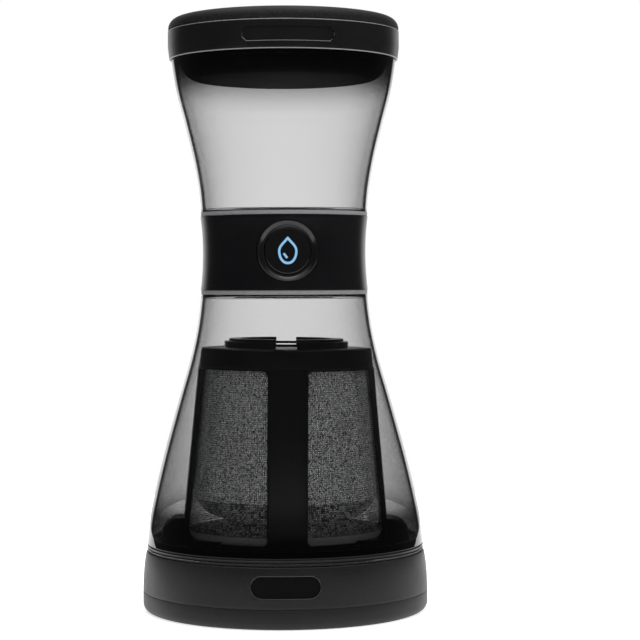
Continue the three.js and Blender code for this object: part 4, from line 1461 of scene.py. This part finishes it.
@dataclass
class Waist(SubAssembly):
    """Collar, button and ring round the valve. Depths are towards the front."""

    low: float = 178.15
    high: float = 219.2
    end_radius: float = 46.7
    waist_radius: float = 45.4
    bore: float = 43.0
    axis: float = 199.55
    hole: float = 16.8
    hole_depths: Pair = (20.0, 60.0)  # from, to
    ring_radius: float = 16.5
    ring_face: float = 46.0
    ring_back: float = 36.3
    ring_mouth: float = 13.8
    ring_mouth_depth: float = 1.6
    ring_edge: float = 0.35
    ring_bore: float = 12.8
    button_radius: float = 12.5
    button_face: float = 45.2
    button_back: float = 40.2
    button_hollow: float = 9.0
    dome: float = 0.35
    dome_rings: tuple[float, ...] = (0.85, 0.68, 0.5, 0.33, 0.17, 0.07)  # shares of the dome's radius
    button_round: float = 0.55
    drop: tuple[Pair, ...] = ((0, 7.0), (-4.6, -0.6), (0, -6.6), (4.6, -0.6))  # across, up
    gleam: tuple[Pair, ...] = ((-2.2, -1.4), (-0.3, -3.9))
    stroke: float = 0.68  # half a line's width
    stroke_flat: float = 0.35  # share of it that stands out of the button
    stroke_sink: float = 0.12

    def build(self) -> None:
        """Model and dress the pieces from the outside in."""
        self.build_collar()
        self.build_ring()
        self.build_button()

    def build_collar(self) -> None:
        """Model the collar with its hole for the button's ring and dress it."""
        pull = (2 * self.waist_radius - self.end_radius, self.axis)
        side = bowed((self.end_radius, self.low), pull, (self.end_radius, self.high), 20)
        collar = turned("collar_fine", [(self.bore, self.low), *side, (self.bore, self.high)], Ends.RING)
        soften(collar, 0.15, angle=BLUNT)
        depths = [(self.hole, depth) for depth in self.hole_depths]
        hole = turned("collar_hole", depths, Ends.SOLID, SMALL_STEPS)
        face_front(hole, self.axis)
        cut(collar, hole)
        self.wardrobe.dress(collar, "valve_collar", "black_plastic", [SATIN_ABS], "collar")

    def build_ring(self) -> None:
        """Model the button's ring, whose face slopes in to its mouth, and dress it."""
        edge, face = self.ring_edge, self.ring_face
        mouth = face - self.ring_mouth_depth
        ring = turned("button_ring_fine", [
            (self.ring_radius, self.ring_back), *arc((self.ring_radius - edge, face - edge), edge, 0, 90, 5),
            (self.ring_mouth, mouth + 0.1), (self.ring_mouth, mouth), (self.ring_bore, mouth),
            (self.ring_bore, self.ring_back),
        ], Ends.RING, SMALL_STEPS)
        soften(ring, 0.06)
        face_front(ring, self.axis)
        self.wardrobe.dress(ring, "valve_collar", "black_gloss", [RING_ABS], "button_ring")

    def build_button(self) -> None:
        """Model the domed button with its drop, which has a painted glow, and dress them."""
        edge = self.button_round
        flat = self.button_radius - edge
        button = turned("button_cap_fine", [
            (self.button_hollow, self.button_back), (self.button_radius, self.button_back),
            *arc((flat, self.button_face - edge), edge, 0, 90, 6),
            *((flat * at, self.button_face + self.dome * (1 - at * at)) for at in self.dome_rings),
        ], Ends.SOLID, SMALL_STEPS)
        soften(button, 0.2, angle=60)
        face_front(button, self.axis)
        self.wardrobe.dress(button, "button", "black_gloss", [GLOSS_ABS], "button_cap")
        symbol = join([self.line(self.drop, True), self.line(self.gleam, False)])
        symbol.name = symbol.data.name = "button_drop"
        activate(symbol)
        symbol.scale = (1, self.stroke_flat, 1)
        front = self.button_face + self.dome - self.stroke_sink
        symbol.location = (0, -front * MM, self.axis * MM)
        bpy.ops.object.transform_apply()
        self.wardrobe.dress(symbol, "button", "black_gloss", [SYMBOL_PAINTED_GLOW])

    def line(self, points: Sequence[Pair], is_loop: bool) -> bpy.types.Object:
        """Draw a round line of the button's inlay.

        Args:
            points: across and up from the button's middle, in millimetres.
            is_loop: whether it closes, with a point at its first place.

        Returns:
            The line as a mesh.
        """
        clear_selection()
        bpy.ops.curve.primitive_bezier_curve_add(location=(0, 0, 0))
        data = bpy.context.object.data
        data.splines.clear()
        spline = data.splines.new("BEZIER")
        spline.bezier_points.add(len(points) - 1)
        for handle, (across, up) in zip(spline.bezier_points, points):
            handle.co = (across * MM, 0, up * MM)
            handle.handle_left_type = handle.handle_right_type = "AUTO"
        spline.use_cyclic_u = is_loop
        spline.resolution_u = 16
        data.dimensions = "3D"
        data.bevel_depth = self.stroke * MM
        data.bevel_resolution = 4
        data.use_fill_caps = True
        if is_loop:
            spline.bezier_points[0].handle_left_type = "VECTOR"
            spline.bezier_points[0].handle_right_type = "VECTOR"
        bpy.ops.object.convert(target="MESH")
        return bpy.context.object


@dataclass
class Lid(SubAssembly):
    """Lid plug, screw cap and bumper ring."""

    flange: float = 317.6
    flange_top: float = 319.1
    flange_radius: float = 60.4
    mouth: float = 57.6
    bowl_radius: float = 57.0
    bowl_bottom: float = 295.0
    bowl_round: float = 9.0
    bowl_wall: float = 2.2
    edge: float = 306.2
    edge_radius: float = 63.6
    edge_top: float = 313.0
    radius: float = 64.4
    plate: float = 319.4
    top: float = 322.1
    bore: float = 60.9
    disc_radius: float = 49.7
    disc_top: float = 327.0
    disc_under: float = 324.3
    plaque: Plaque = Plaque(48.9, 7.3, 314.2, corner=2.2, corner_steps=1)
    edge_round: float = 0.55
    bumper: float = 322.4
    bumper_top: float = 329.3
    bumper_radius: float = 64.2
    bumper_bore: float = 50.0
    bumper_round: float = 6.0
    bumper_inner_round: float = 1.5

    def build(self) -> None:
        """Model and dress the pieces from the inside out."""
        self.build_plug()
        self.build_cap()
        self.build_bumper()

    def build_plug(self) -> None:
        """Model the bowl that hangs in the chamber's mouth and dress it."""
        centre = (self.bowl_radius - self.bowl_round, self.bowl_bottom + self.bowl_round)
        plug = turned("lid_plug_fine", [
            *arc(centre, self.bowl_round, -90, 0, 14), (self.mouth, self.flange),
            (self.flange_radius, self.flange), (self.flange_radius, self.flange_top),
            (self.mouth - self.bowl_wall, self.flange_top),
            *arc(centre, self.bowl_round - self.bowl_wall, 0, -90, 14),
        ], Ends.SOLID)
        soften(plug, 0.3, angle=BLUNT)
        self.wardrobe.dress(plug, "lid_plug", "black_plastic", [BOWL_ABS], "lid_plug")

    def build_cap(self) -> None:
        """Model the screw cap with its plaque's bed and raised disc and dress it."""
        inner = self.disc_radius - (self.top - self.plate)
        cap = turned("lid_cap_fine", [
            (inner, self.disc_under), (inner, self.plate), (self.bore, self.plate), (self.bore, self.edge),
            (self.edge_radius, self.edge), (self.radius, self.edge_top), (self.radius, self.top),
            (self.disc_radius, self.top), (self.disc_radius, self.disc_top),
        ], Ends.SOLID)
        # The seam's edge and the top edge take a painted highlight
        for radius, level in ((self.edge_radius, self.edge), (self.radius, self.top)):

            def on_rim(a: Vector, b: Vector) -> bool:
                """Say whether an edge lies on the rim at this radius and level."""
                return all(p.xy.length > radius - 0.1 and abs(p.z - level) < 0.05 for p in (a, b))

            round_edges(cap, on_rim, self.edge_round, 3, painted_highlight=True)
        soften(cap, 0.3, angle=BLUNT)
        plaque = self.plaque
        floor = self.radius - plaque.depth
        plaque.sink(cap, self.radius, [(floor, self.edge - 5), (floor, self.top + 5)])

        def on_brim(point: Vector) -> bool:
            """Say whether a point lies on the bed's brim, below its upper edge.

            Args:
                point: the point, in millimetres.

            Returns:
                Whether it does.
            """
            if point.y > 0 or abs(point.x) > plaque.width / 2 + 0.02:
                return False
            # Only the lower brim and its ends take the painted highlight, where the light from above falls;
            # the upper brim stays dark
            is_level = -plaque.height / 2 - 0.02 < point.z - plaque.level < 1.6
            return is_level and point.xy.length > floor + plaque.depth / 2 - 0.1

        round_edges(cap, lambda a, b: on_brim(a) and on_brim(b), plaque.brim, 2, painted_highlight=True)
        self.wardrobe.dress(cap, "lid_cap", "black_plastic", [LID_ABS, ABS_EDGE_HIGHLIGHT], "lid_cap")

    def build_bumper(self) -> None:
        """Model the bumper ring and dress it."""
        outer, inner = self.bumper_round, self.bumper_inner_round
        ring = turned("lid_bumper_ring_fine", [
            (self.bumper_bore, self.bumper), (self.bumper_radius, self.bumper),
            *arc((self.bumper_radius - outer, self.bumper_top - outer), outer, 0, 90, 12),
            *arc((self.bumper_bore + inner, self.bumper_top - inner), inner, 90, 180, 5),
        ], Ends.RING)
        soften(ring, 0.3)
        self.wardrobe.dress(ring, "lid_cap", "bumper_rubber", [BUMPER_TPE], "lid_bumper_ring")


@dataclass
class InnerPieces(SubAssembly):
    """The pieces inside that keep the frame's own solids."""

    seals: tuple[str, ...] = (
        "base_gasket", "filter_cap_gasket", "lower_neck_gasket", "upper_neck_gasket", "lid_gasket",
        "spool_seal_front", "spool_seal_back",
    )

    def build(self) -> None:
        """Dress each of them."""
        for node in self.seals:
            self.wardrobe.dress_node(node, SILICONE)
        self.wardrobe.dress_node("valve_core", INNER_ABS)
        self.wardrobe.dress_node("valve_spool", GLOSS_ABS)
        self.wardrobe.dress_node("valve_spring", SPRING_WIRE)


# Studio


@dataclass
class Studio:
    """Floor, world, lamp and camera, in metres."""

    table: float = 0.62  # radius of the white table
    paper: PaperSweep = PaperSweep("white_paper_sweep")
    sky: float = 0.1  # how bright the world is for matt surfaces
    front: float = 2.1  # how much brighter it is for them in front
    back: float = 1.3  # how much brighter it is for them behind
    side: float = 1.6  # how much brighter it is for them at the right
    clear_backdrop: Pair = (0.88, 0.93)  # the backdrop's edge in clear reflections
    satin_backdrop: Pair = (0.68, 0.93)  # and in satin ones, which are wider
    dim: float = 0.04  # how bright the dark side of the studio is in reflections
    lamp_height: float = 1.5
    lamp_size: float = 1.4
    lamp_power: float = 8.0
    distance: float = 1.148
    eye: float = 0.184
    azimuth: float = -2.4
    focal_pixels: float = 2050.0
    frame_pixels: float = 640.0
    axis_pixels: float = -35.5
    horizon_pixels: float = 40.5
    roll: float = 0.2

    def build(self) -> None:
        """Make the world, the floor, the lamp and the camera."""
        self.build_world()
        self.build_floor()
        self.build_lamp()
        self.build_camera()

    def build_world(self) -> None:
        """Make the world: white to the camera and through the chambers, and a soft studio in reflections."""
        world = bpy.data.worlds.new("studio")
        bpy.context.scene.world = world
        world.use_nodes = True
        tree = world.node_tree
        tree.nodes.clear()
        path = add_node(tree, "LightPath").outputs
        direction = add_node(tree, "TexCoord").outputs["Generated"]
        split = add_node(tree, "SeparateXYZ", {"Vector": direction}).outputs
        turn = math.radians(self.azimuth)
        ahead = {0: direction, 1: (-math.sin(turn), math.cos(turn), 0.0)}
        behind = add_node(tree, "VectorMath", ahead, operation="DOT_PRODUCT").outputs["Value"]
        # Reflections show the white backdrop behind the brewer and the softbox above it. A broad,
        # weak light from the front, the right and the back lifts the matt surfaces.
        lights = [
            (split["Z"], (0.5, 0.85), (0.0, 1.0)),
            (behind, self.clear_backdrop, (0.0, 1.0)),
            (behind, self.satin_backdrop, (0.0, 1.0)),
            (split["Y"], (-0.3, -0.97), (self.sky, self.sky + self.front)),
            (split["X"], (0.5, 0.98), (0.0, self.side)),
            (split["Y"], (0.0, 0.8), (0.0, self.back)),
        ]
        overhead, narrow, broad, soft, right, rear = (
            add_node(tree, "MapRange", {
                "Value": value, "From Min": start, "From Max": end, "To Min": weak, "To Max": strong,
            }, interpolation_type="SMOOTHSTEP")
            for value, (start, end), (weak, strong) in lights
        )
        backdrop = add_node(tree, "Mix", {0: path["Is Singular Ray"], 2: broad, 3: narrow})
        bright = add_node(tree, "Math", {0: overhead, 1: backdrop}, operation="MAXIMUM")
        studio = add_node(tree, "MapRange", {"Value": bright, "To Min": self.dim, "To Max": 1.0})
        # A ray that only went through glass has no glossy depth, so it isn't a reflection
        reflected = add_node(tree, "Math", {0: path["Glossy Depth"], 1: 1.0}, operation="MINIMUM")
        for more in (right, rear):
            soft = add_node(tree, "Math", {0: soft, 1: more}, operation="ADD")
        light = add_node(tree, "Mix", {0: reflected, 2: soft, 3: studio})
        # Rays that come straight from the camera, also through the chambers, see white
        depths = {0: reflected, 1: path["Diffuse Depth"]}
        scattered = add_node(tree, "Math", depths, operation="ADD", use_clamp=True)
        rays = {0: path["Is Camera Ray"], 1: path["Is Transmission Ray"]}
        seen = add_node(tree, "Math", rays, operation="MAXIMUM")
        straight = add_node(tree, "Math", {0: seen, 1: scattered}, operation="SUBTRACT", use_clamp=True)
        strength = add_node(tree, "Mix", {0: straight, 2: light, 3: 1.0})
        sky = add_node(tree, "Background", {"Color": WHITE, "Strength": strength})
        add_node(tree, "OutputWorld", {"Surface": sky})

    def build_floor(self) -> None:
        """Lay the pale floor."""
        clear_selection()
        bpy.ops.mesh.primitive_circle_add(vertices=64, radius=self.table, fill_type="NGON")
        floor = named("studio_floor")
        floor.data.materials.append(self.paper.material())

    def build_lamp(self) -> None:
        """Hang a large soft lamp overhead, which shines straight down."""
        clear_selection()
        bpy.ops.object.light_add(type="AREA", location=(0, 0, self.lamp_height))
        lamp = named("lamp_overhead")
        lamp.data.shape = "DISK"
        lamp.data.size = self.lamp_size
        lamp.data.energy = self.lamp_power

    def build_camera(self) -> None:
        """Set the camera at the photograph's viewing angle."""
        data = bpy.data.cameras.new("camera")
        camera = bpy.data.objects.new("camera", data)
        bpy.context.scene.collection.objects.link(camera)
        data.sensor_width = 36.0
        data.lens = data.sensor_width * self.focal_pixels / self.frame_pixels
        data.clip_start, data.clip_end = 0.05, 50.0
        turn = math.radians(self.azimuth)
        back = Vector((math.sin(turn), -math.cos(turn), 0))
        yaw = math.atan(-self.axis_pixels / self.focal_pixels)
        pitch = math.atan(self.horizon_pixels / self.focal_pixels)
        level = Matrix.Rotation(turn - yaw, 4, "Z") @ Matrix.Rotation(math.radians(90) - pitch, 4, "X")
        level = level @ Matrix.Rotation(math.radians(-self.roll), 4, "Z")
        camera.matrix_world = Matrix.Translation(back * self.distance + Vector((0, 0, self.eye))) @ level
        bpy.context.scene.camera = camera
        bpy.context.scene.view_settings.view_transform = "Standard"


def main() -> None:
    """Build the brewer from the floor up, then the studio round it."""
    logging.basicConfig(level=logging.INFO, format="%(message)s")
    wardrobe = Wardrobe()
    for sub_assembly in (Base, Filter, Chambers, Waist, Lid, InnerPieces):
        sub_assembly(wardrobe).build()
    Studio().build()


if __name__ == "__main__":
    main()
